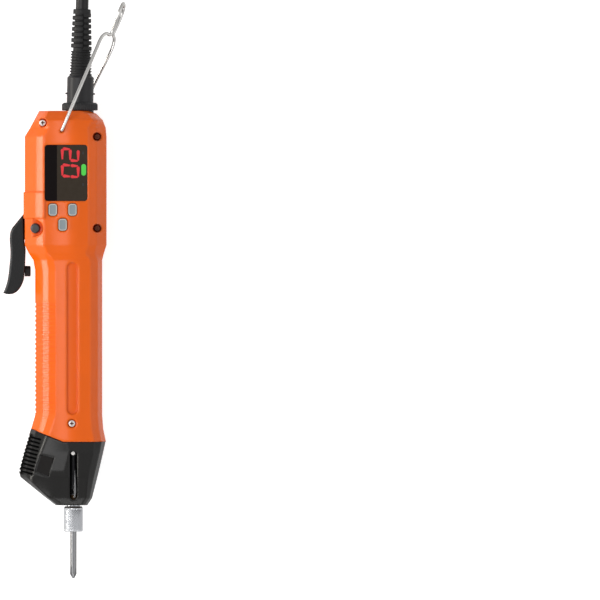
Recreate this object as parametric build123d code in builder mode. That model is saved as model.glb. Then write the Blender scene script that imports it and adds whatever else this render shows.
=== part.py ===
"""An electric torque screwdriver that lies on its back with its display up. Millimetres.

X runs across the tool, Y from the bit up to the cord, and Z out of the display.
The origin is the mouth of the bit holder, on the axis that the bit turns about.
"""

import math
import os

from build123d import *

os.makedirs("parts", exist_ok=True)

# Places along the axis of the tool
nose_y = 15.9
joint_y = 54.0
joint_left_y = 61.8
joint_left_x = -25.2
crease_x = -5.7
grip_bottom_y = 70.0
neck_y = 157.0
head_bottom_y = 172.0
head_top_y = 252.4

# Casing sides, half depths and walls
head_left = -29.0
head_right = 19.9
head_depth = 20.0
grip_left = -22.8
grip_right = 17.3
grip_depth = 18.4
wall = 2.4
nose_wall = 2.2
rib_t = 2.0

# Clearances
run_gap = 0.04
seat_gap = 0.1
fit_gap = 0.3

# Bit, holder and spindle
bit_r = 2.0
bit_tip_y = -28.0
bit_top_y = 14.0
flute_y = -20.4
spindle_r = 4.0
spindle_end_y = 1.0
sleeve_r = 5.75
sleeve_length = 15.2
sleeve_travel = 2.5
detent_y = 9.2
detent_r = 1.1
clip_y = 1.6
clip_t = 0.8

# Torque adjustment
bearing_r = 6.6
nut_r = 7.4
nut_bottom_y = 22.3
nut_top_y = 34.0
skirt_r = 6.2
seat_flange_y = 45.0
seat_flange_t = 4.4
indicator_y = 47.1
indicator_r = 1.1
slot_left = -2.0
slot_right = 2.5
slot_bottom_y = 19.2
slot_top_y = 48.4

# Clutch, gears and motor
motor_r = 14.2
clutch_case_y = 50.6
clutch_plate_y = 61.6
clutch_plate_t = 2.8
clutch_ball_r = 1.2
clutch_ball_count = 6
clutch_ring_r = 7.5
gear_module = 0.5
sun_teeth = 12
planet_teeth = 18
planet_count = 3
pressure_angle = 20.0
gear_backlash = 0.12
gear_y = 69.6
gear_width = 5.0
carrier_t = 3.0
pin_r = 1.2
motor_bottom_y = 77.5
motor_length = 52.0
shaft_r = 1.5
can_wall = 1.2
stator_length = 30.0

# Display, boards and keys
window_left = -17.0
window_right = 8.7
window_bottom_y = 198.3
window_top_y = 232.0
window_t = 1.4
window_ledge = 1.3
board_t = 1.6
board_right = 9.2
board_left = -15.2
display_board_z = 11.4
control_board_z = -10.0
key_w = 4.9
key_l = 7.0
key_corner_r = 1.7
key_gap = 0.35
key_travel = 0.4
key_proud = 0.5
key_places = {"left": (-12.1, 193.1), "right": (-0.3, 193.1), "lower": (-6.2, 184.1)}

# Screws
screw_r = 1.25
screw_head_r = 2.0
screw_head_t = 1.5
boss_r = 3.5
silver_screw_x = -18.2
silver_screw_y = 245.2
dark_screw_x = 14.4
dark_screw_ys = (236.9, 182.0)
case_screw_x = -0.7
case_screw_y = 65.0
thread_depth = 11.5
board_screw_r = 1.02
board_screw_head_r = 1.75

# Lever
pivot_x = -22.6
pivot_y = 182.0
lever_t = 12.0
lever_pin_r = 1.5
lever_hub_r = 4.2
lever_head_r = 3.0
lever_recess_r = 4.8
lever_recess_z = 13.5
lever_hub_t = 10.0
lever_wire_r = 0.2
bumper_r = 3.2
bumper_y = 156.3
bumper_end_x = -25.6

# Suspension bail
wire_r = 1.0
bail_x = -6.8
bail_y = 240.3
bail_lean = 22.8
bail_proud = 0.8
bail_neck = 62.0
bail_eye = 84.5
bail_bend_r = 1.7
rest_depth = head_depth + bail_proud + 2 * wire_r

# Cord and its connectors
socket_x = 3.9
socket_r = 8.3
plug_lean = 1.25
plug_r = 8.0
plug_top_y = 273.6
boot_top_y = 313.5
boot_base_r = 6.7
boot_top_r = 5.25
ring_r = 10.75
ring_top_y = 257.4
cord_d = 7.7
cord_r = cord_d / 2
floor_z = -rest_depth
cord_z = floor_z + cord_r


# Shared shapes

def section_points(left, right, front, rear, steps):
    """Corners of one cross-section from its two sides, its depths and the steps of its bevels."""
    side, left_bevel, left_band, left_flat, right_flat, right_bevel = steps
    upper = [
        (left, side * front),
        (left + left_bevel[0], left_bevel[1] * front),
        (left + left_band[0], left_band[1] * front),
        (left + left_flat, front),
        (right - right_flat, front),
        (right - right_bevel[0], right_bevel[1] * front),
        (right, side * front),
    ]
    lower = [(x, -z * rear / front) for x, z in reversed(upper)]
    return upper + lower


def across_plane(y, x=0, z=0):
    """A sketch plane across the Y axis, with its sketch axes along X and Z."""
    return Plane(origin=(x, y, z), x_dir=(1, 0, 0), z_dir=(0, -1, 0))


def loft_sections(sections, grow):
    """A ruled loft through sections (y, corners), each grown outwards by the same amount."""
    with BuildPart() as body:
        for y, corners in sections:
            with BuildSketch(across_plane(y)):
                with BuildLine():
                    Polyline(*corners, close=True)
                make_face()
                if grow:
                    offset(amount=grow, kind=Kind.INTERSECTION, mode=Mode.REPLACE)
        loft(ruled=True)
    return body.part


def turned(profile, axis=Axis.Y, plane=Plane.XY):
    """A solid of revolution from corners (radius, place along the axis)."""
    with BuildPart() as solid:
        with BuildSketch(plane):
            with BuildLine():
                Polyline(*profile, close=True)
            make_face()
        revolve(axis=axis)
    return solid.part


def tube(inner_r, outer_r, bottom, top):
    """Corners of a plain tube about an axis."""
    return [(inner_r, bottom), (outer_r, bottom), (outer_r, top), (inner_r, top)]


def ring_places(count, radius, y):
    """Places spaced evenly on a circle about the Y axis."""
    turns = [n * 2 * math.pi / count for n in range(count)]
    return [(radius * math.sin(turn), y, radius * math.cos(turn)) for turn in turns]


def smooth_radii(points, share=0.45):
    """One radius for each corner: a share of its shorter run over the tangent of half the turn."""
    radii = []
    for before, corner, after in zip(points, points[1:], points[2:]):
        run_in = Vector(*corner) - Vector(*before)
        run_out = Vector(*after) - Vector(*corner)
        half_turn = math.radians(run_in.get_angle(run_out)) / 2
        radii.append(share * min(run_in.length, run_out.length) / math.tan(half_turn))
    return radii


def swept_wire(points, corner_radii, radius):
    """A round wire or cord along straight runs joined by tangent arcs, and the length of its route."""
    with BuildPart() as wire:
        with BuildLine() as route:
            FilletPolyline(*points, radius=corner_radii)
        with BuildSketch(Plane(origin=route.line @ 0, z_dir=route.line % 0)):
            Circle(radius)
        sweep()
    return wire.part, sum(edge.length for edge in route.edges())


def coil_spring(mean_r, spring_wire_r, start, direction, length, turns):
    """A round-wire coil spring of a given length, from a point along a direction."""
    rise = length - 2 * spring_wire_r
    first = Vector(*start) + Vector(*direction) * spring_wire_r
    with BuildPart() as spring:
        with BuildLine() as path:
            Helix(pitch=rise / turns, height=rise, radius=mean_r, center=first, direction=direction)
        with BuildSketch(Plane(origin=path.line @ 0, z_dir=path.line % 0)):
            RegularPolygon(spring_wire_r, 8)
        sweep(is_frenet=True)
    return spring.part


# Casing form: cross-sections from the top of the head down to the joint with the nose

head_steps = (0.42, (6.9, 0.8), (9.3, 0.91), 11.5, 10.6, (5.8, 0.83))
top_steps = (0.42, (3.4, 0.8), (4.7, 0.91), 6.0, 5.4, (3.0, 0.83))
grip_steps = (0.38, (4.5, 0.72), (8.1, 0.89), 12.3, 6.6, (2.5, 0.75))
bevel_depth = 0.76 * head_depth
casing_sections = [
    (head_top_y, section_points(-20.4, 9.4, bevel_depth, bevel_depth, top_steps)),
    (head_top_y - 1.6, section_points(-21.3, 13.8, 0.84 * head_depth, 0.84 * head_depth, top_steps)),
    (head_top_y - 5.4, section_points(-23.3, 17.6, head_depth, head_depth, top_steps)),
    (head_top_y - 10.0, section_points(-25.7, 19.4, head_depth, head_depth, head_steps)),
    (head_top_y - 15.4, section_points(head_left, head_right, head_depth, head_depth, head_steps)),
    (head_bottom_y, section_points(head_left, head_right, head_depth, head_depth, head_steps)),
    (head_bottom_y - 5.0, section_points(-26.6, 18.3, 19.4, 19.4, head_steps)),
    (head_bottom_y - 9.0, section_points(-23.9, grip_right, grip_depth, grip_depth, grip_steps)),
    (neck_y, section_points(grip_left, grip_right, grip_depth, grip_depth, grip_steps)),
    (grip_bottom_y, section_points(grip_left, grip_right, grip_depth, grip_depth, grip_steps)),
    (joint_left_y, section_points(joint_left_x, 17.9, grip_depth, grip_depth, grip_steps)),
    (joint_y - 4.0, section_points(-29.4, 20.4, grip_depth, grip_depth, grip_steps)),
]
casing_form = loft_sections(casing_sections, 0)
casing_core = loft_sections(casing_sections, -wall)

# The joint line between casing and nose, seen from the front
far_left = head_left - 20.0
far_right = head_right + 20.0
joint_slope = (joint_left_y - joint_y) / (crease_x - joint_left_x)
joint_far_y = joint_left_y + joint_slope * (joint_left_x - far_left)
with BuildPart() as nose_side:
    with BuildSketch():
        with BuildLine():
            Polyline(
                (far_left, joint_far_y),
                (crease_x, joint_y),
                (far_right, joint_y),
                (far_right, -joint_y),
                (far_left, -joint_y),
                close=True,
            )
        make_face()
    extrude(amount=2 * head_depth, both=True)

# Ribs that seat the clutch case, the gears and the motor
rib_ys = (66.0, 86.0, 106.0, 126.0)
rib_mid_y = (rib_ys[0] + rib_ys[-1]) / 2
rib_span = rib_ys[-1] - rib_ys[0] + 2 * rib_t
with BuildPart() as ribs:
    for rib_y in rib_ys:
        with Locations((0, rib_y, 0)):
            Box(4 * head_depth, rib_t, 4 * head_depth)
    add(casing_form, mode=Mode.INTERSECT)
    with Locations((0, rib_mid_y, 0)):
        Cylinder(motor_r + seat_gap, rib_span, rotation=(90, 0, 0), mode=Mode.SUBTRACT)

# Round bosses for the screws, the lever pin and the bail
dark_screw_places = [(dark_screw_x, y) for y in dark_screw_ys]
screw_places = [(silver_screw_x, silver_screw_y), *dark_screw_places]
bail_boss_r = wire_r + 1.8
pin_boss_r = lever_recess_r + 1.4
with BuildPart() as bosses:
    with BuildSketch():
        with Locations(*screw_places):
            Circle(boss_r)
        with Locations((bail_x, bail_y)):
            Circle(bail_boss_r)
        with Locations((pivot_x, pivot_y)):
            Circle(pin_boss_r)
    extrude(amount=2 * head_depth, both=True)
    with Locations((bail_x, bail_y, 0)):
        Cylinder(2 * boss_r, 2 * (head_depth - 2 * wall), mode=Mode.SUBTRACT)
    add(casing_form, mode=Mode.INTERSECT)

# Raised pad beside the lever
pad_t = 0.8
pad_right_x = -16.8
pad_y = 195.8
pad_length = 15.8
with BuildPart() as pad:
    add(loft_sections(casing_sections, pad_t))
    with Locations((pad_right_x, pad_y, 0)):
        Box(
            2 * head_depth,
            pad_length,
            4 * head_depth,
            align=(Align.MAX, Align.CENTER, Align.CENTER),
            mode=Mode.INTERSECT,
        )

# Grooves across the left of the grip
groove_pitch = 2.8
groove_count = 24
groove_depth = 0.45
groove_top_y = 136.4
groove_reach = 12.3
with BuildPart() as grip_grooves:
    for n in range(groove_count):
        with Locations((grip_left, groove_top_y - n * groove_pitch, 0)):
            Box(2 * groove_reach, groove_pitch / 2, 4 * head_depth)
    add(loft_sections(casing_sections, -groove_depth), mode=Mode.SUBTRACT)

# The hollow inside the casing, closed at the top of the head
with BuildPart() as cavity:
    add(casing_core)
    with Locations((0, -wall, 0)):
        Box(8 * head_depth, 2 * head_top_y, 4 * head_depth, mode=Mode.INTERSECT)

# Both halves of the casing before they are parted
window_w = window_right - window_left
window_h = window_top_y - window_bottom_y
window_x = (window_left + window_right) / 2
window_mid_y = (window_bottom_y + window_top_y) / 2
slot_half = lever_t / 2 + fit_gap
lever_opening = (20.0, 26.0)
lever_opening_right = pivot_x + 6.5
knob_y = 202.8
knob_w = 4.0
knob_travel = 2.5
knob_half = 2.5
with BuildPart() as casing_cuts:
    add(nose_side.part)
    with Locations((socket_x, head_top_y, 0)):
        Cylinder(socket_r + seat_gap, 4 * wall, rotation=(90, 0, 0))
    with Locations((lever_opening_right, pivot_y - 3.0, 0)):
        Box(*lever_opening, 2 * slot_half, align=(Align.MAX, Align.CENTER, Align.CENTER))
    with Locations((head_right, knob_y, 0)):
        Box(4 * wall, knob_w + 2 * fit_gap, 2 * (knob_half + knob_travel + fit_gap))
    with Locations((bail_x, bail_y, 0)):
        Cylinder(wire_r + run_gap, 4 * head_depth)
    with Locations((pivot_x, pivot_y, 0)):
        Cylinder(lever_pin_r + run_gap, 1.6 * head_depth)
with BuildPart() as casing:
    add(casing_form)
    add(cavity.part, mode=Mode.SUBTRACT)
    add([ribs.part, bosses.part, pad.part])
    add([grip_grooves.part, casing_cuts.part], mode=Mode.SUBTRACT)

# Openings for what shows on the front
silver_seat_z = 14.4
dark_seat_z = 9.0
case_seat_z = grip_depth - 1.4
recess_gap = 0.6
groove_mid_y = 115.9
groove_length = 91.0
groove_w = 6.6
window_corner_r = 1.8
recess_side_h = 11.0
with BuildPart() as front_cuts:
    with BuildSketch(Plane.XY.offset(head_depth - window_t - seat_gap)):
        with Locations((window_x, window_mid_y)):
            RectangleRounded(window_w, window_h, window_corner_r)
    extrude(amount=wall)
    with BuildSketch(Plane.XY.offset(head_depth - 2 * wall)):
        with Locations((window_x, window_mid_y)):
            Rectangle(window_w - 2 * window_ledge, window_h - 2 * window_ledge)
        with Locations(*key_places.values()):
            RectangleRounded(key_w + 2 * key_gap, key_l + 2 * key_gap, key_corner_r + key_gap)
    extrude(amount=3 * wall)
    with BuildSketch(Plane.XY.offset(grip_depth - wall / 2)):
        with Locations((case_screw_x + 0.4, groove_mid_y)):
            SlotOverall(groove_length, groove_w, rotation=90)
    extrude(amount=wall)
    with BuildSketch(Plane.XY.offset(lever_recess_z)):
        with Locations((pivot_x, pivot_y)):
            Circle(lever_recess_r)
        with Locations((pivot_x - lever_recess_r / 2, pivot_y + 0.4)):
            Rectangle(lever_recess_r, recess_side_h)
    extrude(amount=head_depth)
    with BuildSketch(Plane.XY.offset(silver_seat_z)):
        with Locations((silver_screw_x, silver_screw_y)):
            Circle(screw_head_r + recess_gap)
    extrude(amount=head_depth)
    with BuildSketch(Plane.XY.offset(dark_seat_z)):
        with Locations(*dark_screw_places):
            Circle(screw_head_r + recess_gap)
    extrude(amount=head_depth)
    with BuildSketch(Plane.XY.offset(case_seat_z)):
        with Locations((case_screw_x, case_screw_y)):
            Circle(screw_head_r + recess_gap)
    extrude(amount=head_depth)
    with BuildSketch():
        with Locations(*screw_places, (case_screw_x, case_screw_y)):
            Circle(screw_r + run_gap)
    extrude(amount=head_depth)

# Posts that carry the two boards
post_r = 1.9
post_hole_r = board_screw_r + 0.03
post_places = [(-12.8, 235.5), (6.5, 235.5), (-12.8, 180.5), (6.5, 180.5)]
low_post_places = [(-12.8, 228.0), (6.5, 228.0), (-12.8, 168.0), (6.5, 168.0)]
with BuildPart() as posts:
    with BuildSketch(Plane.XY.offset(display_board_z + board_t)):
        with Locations(*post_places):
            Circle(post_r)
            Circle(post_hole_r, mode=Mode.SUBTRACT)
    extrude(amount=head_depth - wall / 2 - display_board_z - board_t)
with BuildPart() as low_posts:
    with BuildSketch(Plane.XY.offset(control_board_z)):
        with Locations(*low_post_places):
            Circle(post_r)
            Circle(post_hole_r, mode=Mode.SUBTRACT)
    extrude(amount=-(head_depth - wall / 2 + control_board_z))

# Front half
with BuildPart() as front_housing:
    add(casing.part)
    split(bisect_by=Plane.XY)
    add(front_cuts.part, mode=Mode.SUBTRACT)
    add(posts.part)
front_housing.part.label = "front_housing"
export_step(front_housing.part, "parts/front_housing.step")

# Rear half, with the blind pilot holes for the screws
pilot_depth = 12.5
with BuildPart() as rear_cuts:
    with BuildSketch():
        with Locations(*screw_places):
            Circle(screw_r + run_gap / 2)
    extrude(amount=-pilot_depth)
with BuildPart() as rear_housing:
    add(casing.part)
    split(bisect_by=Plane.XY, keep=Keep.BOTTOM)
    add(rear_cuts.part, mode=Mode.SUBTRACT)
    add(low_posts.part)
rear_housing.part.label = "rear_housing"
export_step(rear_housing.part, "parts/rear_housing.step")
print("casing", front_housing.part.is_valid, rear_housing.part.is_valid)

# Nose cover: sections from above the joint down to the flat end
nose_top_steps = (0.4, (3.0, 0.66), (3.6, 0.69), crease_x - joint_left_x, 7.8, (2.6, 0.78))
nose_belly_steps = (0.45, (3.6, 0.7), (4.2, 0.73), 26.8, 5.6, (2.0, 0.78))
nose_end_steps = (0.5, (1.2, 0.82), (1.8, 0.86), 4.6, 3.6, (1.4, 0.8))
nose_belly_y = 35.0
nose_flat_y = 48.0
nose_left = -32.6
nose_top_front = grip_depth + 0.1
nose_sections = [
    (joint_left_y + 1.0, section_points(-25.0, 21.2, nose_top_front, grip_depth, nose_top_steps)),
    (nose_flat_y, section_points(-29.6, 18.0, 18.2, rest_depth, nose_belly_steps)),
    (nose_belly_y + 1.5, section_points(nose_left, 15.3, 17.5, rest_depth, nose_belly_steps)),
    (nose_belly_y - 2.2, section_points(-31.6, 14.4, 17.2, rest_depth, nose_belly_steps)),
    (nose_y + 4.2, section_points(-16.0, 11.2, 12.4, 14.4, nose_end_steps)),
    (nose_y, section_points(-10.5, 8.4, 10.2, 10.2, nose_end_steps)),
]
nose_form = loft_sections(nose_sections, 0)
nose_core = loft_sections(nose_sections, -nose_wall)
with BuildPart() as nose_cavity:
    add(nose_core)
    with Locations((0, nose_y + nose_wall + joint_y, 0)):
        Box(8 * head_depth, 2 * joint_y, 4 * rest_depth, mode=Mode.INTERSECT)
tower_top_y = 40.0
tower_wall = 1.8
with BuildPart() as nose_tower:
    with Locations((0, (nose_y + tower_top_y) / 2, 0)):
        Cylinder(nut_r + tower_wall, tower_top_y - nose_y, rotation=(90, 0, 0))
    add(nose_form, mode=Mode.INTERSECT)
vent_count = 10
vent_pitch = 2.37
vent_w = 1.15
vent_length = 17.0
vent_lean = math.degrees(math.atan2(-29.6 - nose_left, nose_flat_y - nose_belly_y - 1.5))
with BuildPart() as vents:
    for n in range(vent_count):
        vent_y = 57.4 - n * vent_pitch * math.cos(math.radians(vent_lean))
        vent_x = -32.0 + 0.24 * (vent_y - 38.0)
        with BuildSketch(Plane.XY.offset(-rest_depth)):
            with Locations((vent_x, vent_y)):
                SlotOverall(vent_length, vent_w, rotation=-vent_lean)
        extrude(amount=2 * rest_depth)
plate_corners = ((-19.7, 46.5), (-11.2, 44.4), (-14.9, 32.6), (-23.2, 36.1))
plate_depth = 0.5
with BuildPart() as plate_recess:
    with BuildSketch(Plane.XY.offset(nose_y / 2)):
        with BuildLine():
            Polyline(*plate_corners, close=True)
        make_face()
    extrude(amount=head_depth)
    add(loft_sections(nose_sections, -plate_depth), mode=Mode.SUBTRACT)
slot_w = slot_right - slot_left
with BuildPart() as nose_cover:
    add(nose_form)
    add(nose_cavity.part, mode=Mode.SUBTRACT)
    add(nose_tower.part)
    add(nose_side.part, mode=Mode.INTERSECT)
    with Locations((0, nose_y + nose_wall + tower_top_y / 2, 0)):
        Cylinder(nut_r + run_gap, tower_top_y, rotation=(90, 0, 0), mode=Mode.SUBTRACT)
    with Locations((0, nose_y, 0)):
        Cylinder(bearing_r + run_gap / 2, 4 * nose_wall, rotation=(90, 0, 0), mode=Mode.SUBTRACT)
    add(vents.part, mode=Mode.SUBTRACT)
    add(plate_recess.part, mode=Mode.SUBTRACT)
    with BuildSketch(Plane.XY.offset(spindle_r)):
        with Locations(((slot_left + slot_right) / 2, (slot_bottom_y + slot_top_y) / 2)):
            SlotOverall(slot_top_y - slot_bottom_y, slot_w, rotation=90)
    extrude(amount=head_depth, mode=Mode.SUBTRACT)
nose_cover.part.label = "nose_cover"
export_step(nose_cover.part, "parts/nose_cover.step")
print("nose", nose_cover.part.is_valid, len(nose_cover.part.solids()))

# Bit: a round shank with a detent groove and a cross tip
flute_depth_r = 0.45
tip_flat_r = 0.55
tip_taper = 2.6
with BuildPart() as bit:
    add(turned([
        (0, bit_tip_y), (tip_flat_r, bit_tip_y), (bit_r, bit_tip_y + tip_taper), (bit_r, bit_top_y - 0.5),
        (bit_r - 0.5, bit_top_y), (0, bit_top_y),
    ]))
    for turn in (45, 135, 225, 315):
        with BuildSketch(across_plane(bit_tip_y - 0.1).rotated((0, turn, 0))):
            with BuildLine():
                Polyline((flute_depth_r, 0), (2.6, 2.0), (2.6, -2.0), close=True)
            make_face()
        with BuildSketch(across_plane(flute_y).rotated((0, turn, 0))):
            with BuildLine():
                Polyline((bit_r, 0), (3.6, 1.4), (3.6, -1.4), close=True)
            make_face()
        loft(mode=Mode.SUBTRACT)
    with BuildSketch():
        with Locations((spindle_r - detent_r, detent_y)):
            Circle(detent_r + run_gap)
    revolve(axis=Axis.Y, mode=Mode.SUBTRACT)
bit.part.label = "bit"
export_step(bit.part, "parts/bit.step")

# Spindle: bored for the bit, with a groove for the clip and two holes for the detent balls
bore_r = bit_r + run_gap
ball_hole_r = detent_r + run_gap
spindle_top_y = clutch_plate_y + clutch_plate_t + 1.4
clip_groove_r = spindle_r - 0.4
with BuildPart() as spindle:
    add(turned([
        (bore_r, spindle_end_y), (spindle_r, spindle_end_y),
        (spindle_r, clip_y), (clip_groove_r, clip_y), (clip_groove_r, clip_y + clip_t),
        (spindle_r, clip_y + clip_t), (spindle_r, spindle_top_y), (0, spindle_top_y),
        (0, bit_top_y + 0.2), (bore_r, bit_top_y + 0.2),
    ]))
    with Locations((0, detent_y, 0)):
        Cylinder(ball_hole_r, 3 * spindle_r, rotation=(0, 90, 0), mode=Mode.SUBTRACT)
spindle.part.label = "spindle"
export_step(spindle.part, "parts/spindle.step")

# Detent balls that lock the bit
ball_x = spindle_r - detent_r - run_gap
with BuildPart() as detent_balls:
    with Locations((ball_x, detent_y, 0), (-ball_x, detent_y, 0)):
        Sphere(detent_r)
detent_balls.part.label = "detent_balls"
export_step(detent_balls.part, "parts/detent_balls.step")

# Open clip at the end of the spindle
pocket_r = sleeve_r - 0.75
clip_bore_r = clip_groove_r + 0.02
clip_mouth = 2.4
with BuildPart() as retaining_clip:
    add(turned(tube(clip_bore_r, pocket_r - seat_gap, clip_y + run_gap, clip_y + clip_t - run_gap)))
    with Locations((0, clip_y, -pocket_r)):
        Box(clip_mouth, 4 * clip_t, pocket_r, mode=Mode.SUBTRACT)
retaining_clip.part.label = "retaining_clip"
export_step(retaining_clip.part, "parts/retaining_clip.step")

# Bit sleeve: pulled down, its relief lets the balls out of the bit
land_r = spindle_r + run_gap
ledge_y = detent_y - 1.8
relief_y = detent_y + 1.2
with BuildPart() as bit_sleeve:
    add(turned([
        (pocket_r, 0), (sleeve_r - 0.5, 0), (sleeve_r, 0.6),
        (sleeve_r, 11.6), (sleeve_r - 0.35, 11.9), (sleeve_r - 0.35, 12.4), (sleeve_r, 12.7),
        (sleeve_r, sleeve_length - 0.9), (sleeve_r - 0.9, sleeve_length), (land_r, sleeve_length),
        (land_r, relief_y + sleeve_travel), (pocket_r - 0.2, relief_y + sleeve_travel),
        (pocket_r - 0.2, relief_y), (land_r, relief_y), (land_r, ledge_y), (pocket_r, ledge_y),
    ]))
bit_sleeve.part.label = "bit_sleeve"
export_step(bit_sleeve.part, "parts/bit_sleeve.step")

# Spring that pushes the sleeve up
sleeve_wire_r = 0.28
spring_end_gap = 0.02
sleeve_spring_y = clip_y + clip_t + spring_end_gap
sleeve_spring_length = ledge_y - spring_end_gap - sleeve_spring_y
sleeve_spring_r = spindle_r + 0.15 + sleeve_wire_r
sleeve_spring_start = (0, sleeve_spring_y, 0)
tool_axis = (0, 1, 0)
with BuildPart() as sleeve_spring:
    add(coil_spring(
        sleeve_spring_r, sleeve_wire_r, sleeve_spring_start, tool_axis, sleeve_spring_length, turns=3
    ))
sleeve_spring.part.label = "sleeve_spring"
export_step(sleeve_spring.part, "parts/sleeve_spring.step")

# Bronze bush that the spindle turns in
with BuildPart() as spindle_bush:
    add(turned(tube(spindle_r + run_gap, bearing_r, nose_y + seat_gap, nut_bottom_y - fit_gap)))
spindle_bush.part.label = "spindle_bush"
export_step(spindle_bush.part, "parts/spindle_bush.step")

# Torque nut, turned with a key through the slot
notch_count = 8
notch_r = 0.8
notch_length = 2.6
with BuildPart() as torque_nut:
    add(turned(tube(skirt_r + run_gap, nut_r, nut_bottom_y, nut_top_y)))
    with Locations(*ring_places(notch_count, nut_r, nut_bottom_y + 2.0)):
        Cylinder(notch_r, notch_length, rotation=(90, 0, 0), mode=Mode.SUBTRACT)
torque_nut.part.label = "torque_nut"
export_step(torque_nut.part, "parts/torque_nut.step")

# Torque seat: its skirt screws into the nut and its pin shows in the slot
seat_bore_r = spindle_r + fit_gap
skirt_bottom_y = nut_top_y - 4.0
with BuildPart() as torque_seat:
    add(turned([
        (seat_bore_r, skirt_bottom_y), (skirt_r, skirt_bottom_y), (skirt_r, seat_flange_y),
        (nut_r - run_gap, seat_flange_y), (nut_r - run_gap, seat_flange_y + seat_flange_t),
        (seat_bore_r, seat_flange_y + seat_flange_t),
    ]))
torque_seat.part.label = "torque_seat"
export_step(torque_seat.part, "parts/torque_seat.step")

# Indicator pin in the seat
indicator_z = 16.2
with BuildPart() as indicator_pin:
    with Locations((0, indicator_y, nut_r + seat_gap)):
        Cylinder(indicator_r, indicator_z - nut_r, align=(Align.CENTER, Align.CENTER, Align.MIN))
indicator_pin.part.label = "indicator_pin"
export_step(indicator_pin.part, "parts/indicator_pin.step")

# Clutch spring between the seat and the plate
clutch_wire_r = 0.8
clutch_spring_r = 6.0
clutch_spring_y = seat_flange_y + seat_flange_t + spring_end_gap
clutch_spring_length = clutch_plate_y - spring_end_gap - clutch_spring_y
clutch_spring_start = (0, clutch_spring_y, 0)
with BuildPart() as clutch_spring:
    add(coil_spring(
        clutch_spring_r, clutch_wire_r, clutch_spring_start, tool_axis, clutch_spring_length, turns=4
    ))
clutch_spring.part.label = "clutch_spring"
export_step(clutch_spring.part, "parts/clutch_spring.step")

# Clutch case with the flange that the front screw holds
case_r = 12.2
case_bore_r = 10.6
case_mouth_r = 8.0
case_wall = 1.6
case_flange_y = 62.0
case_top_y = gear_y - 0.6
with BuildPart() as clutch_case:
    add(turned([
        (case_mouth_r, clutch_case_y), (case_r, clutch_case_y), (case_r, case_flange_y),
        (motor_r, case_flange_y), (motor_r, case_top_y), (case_bore_r, case_top_y),
        (case_bore_r, clutch_case_y + case_wall), (case_mouth_r, clutch_case_y + case_wall),
    ]))
    with Locations((case_screw_x, case_screw_y, motor_r)):
        Cylinder(screw_r + run_gap, motor_r, mode=Mode.SUBTRACT)
clutch_case.part.label = "clutch_case"
export_step(clutch_case.part, "parts/clutch_case.step")

# Clutch plate, balls and planet carrier
carrier_y = gear_y - 0.4 - carrier_t
ball_y = (clutch_plate_y + clutch_plate_t + carrier_y) / 2
plate_r = 10.2
ball_places = ring_places(clutch_ball_count, clutch_ring_r, ball_y)
with BuildPart() as clutch_plate:
    add(turned(tube(spindle_r + run_gap, plate_r, clutch_plate_y, clutch_plate_y + clutch_plate_t)))
    with Locations(*ball_places):
        Sphere(clutch_ball_r + run_gap, mode=Mode.SUBTRACT)
clutch_plate.part.label = "clutch_plate"
export_step(clutch_plate.part, "parts/clutch_plate.step")

with BuildPart() as clutch_balls:
    with Locations(*ball_places):
        Sphere(clutch_ball_r)
clutch_balls.part.label = "clutch_balls"
export_step(clutch_balls.part, "parts/clutch_balls.step")

planet_ring_r = gear_module * (sun_teeth + planet_teeth) / 2
ring_teeth = sun_teeth + 2 * planet_teeth
planet_places = ring_places(planet_count, planet_ring_r, carrier_y)
carrier_bore_r = shaft_r + 0.5
press_gap = 0.01
with BuildPart() as planet_carrier:
    add(turned(tube(carrier_bore_r, plate_r, carrier_y, carrier_y + carrier_t)))
    with Locations(*ball_places):
        Sphere(clutch_ball_r + run_gap, mode=Mode.SUBTRACT)
    with Locations(*planet_places):
        Cylinder(pin_r + press_gap, 4 * carrier_t, rotation=(90, 0, 0), mode=Mode.SUBTRACT)
planet_carrier.part.label = "planet_carrier"
export_step(planet_carrier.part, "parts/planet_carrier.step")

pin_bottom_y = carrier_y + 0.6
pin_top_y = gear_y + gear_width + 0.8
with BuildPart() as planet_pins:
    with Locations(*ring_places(planet_count, planet_ring_r, (pin_bottom_y + pin_top_y) / 2)):
        Cylinder(pin_r, pin_top_y - pin_bottom_y, rotation=(90, 0, 0))
planet_pins.part.label = "planet_pins"
export_step(planet_pins.part, "parts/planet_pins.step")

# Bush that carries the planet carrier in the clutch case
with BuildPart() as carrier_bush:
    add(turned(tube(plate_r + run_gap, case_bore_r, carrier_y, carrier_y + carrier_t)))
carrier_bush.part.label = "carrier_bush"
export_step(carrier_bush.part, "parts/carrier_bush.step")


# Gears: involute flanks by formula

def gear_corners(teeth, thinner, tip_add, root_add, first_turn):
    """Corners (x, z) of a spur gear whose first tooth stands at first_turn from Z towards X."""
    pitch_r = gear_module * teeth / 2
    base_r = pitch_r * math.cos(math.radians(pressure_angle))
    tip_r = pitch_r + tip_add
    root_r = pitch_r - root_add
    pressure = math.radians(pressure_angle)
    half_tooth = math.pi / 2 / teeth - thinner / 2 / pitch_r
    flank = []
    for radius in (root_r, max(base_r, root_r + 0.01), pitch_r, (pitch_r + tip_r) / 2, tip_r):
        roll = math.acos(min(1.0, base_r / radius))
        flank.append((radius, half_tooth + math.tan(pressure) - pressure - math.tan(roll) + roll))
    corners = []
    for tooth in range(teeth):
        middle = first_turn + tooth * 2 * math.pi / teeth
        for radius, half in flank:
            corners.append((radius * math.sin(middle - half), radius * math.cos(middle - half)))
        for radius, half in reversed(flank):
            corners.append((radius * math.sin(middle + half), radius * math.cos(middle + half)))
    return corners


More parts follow.
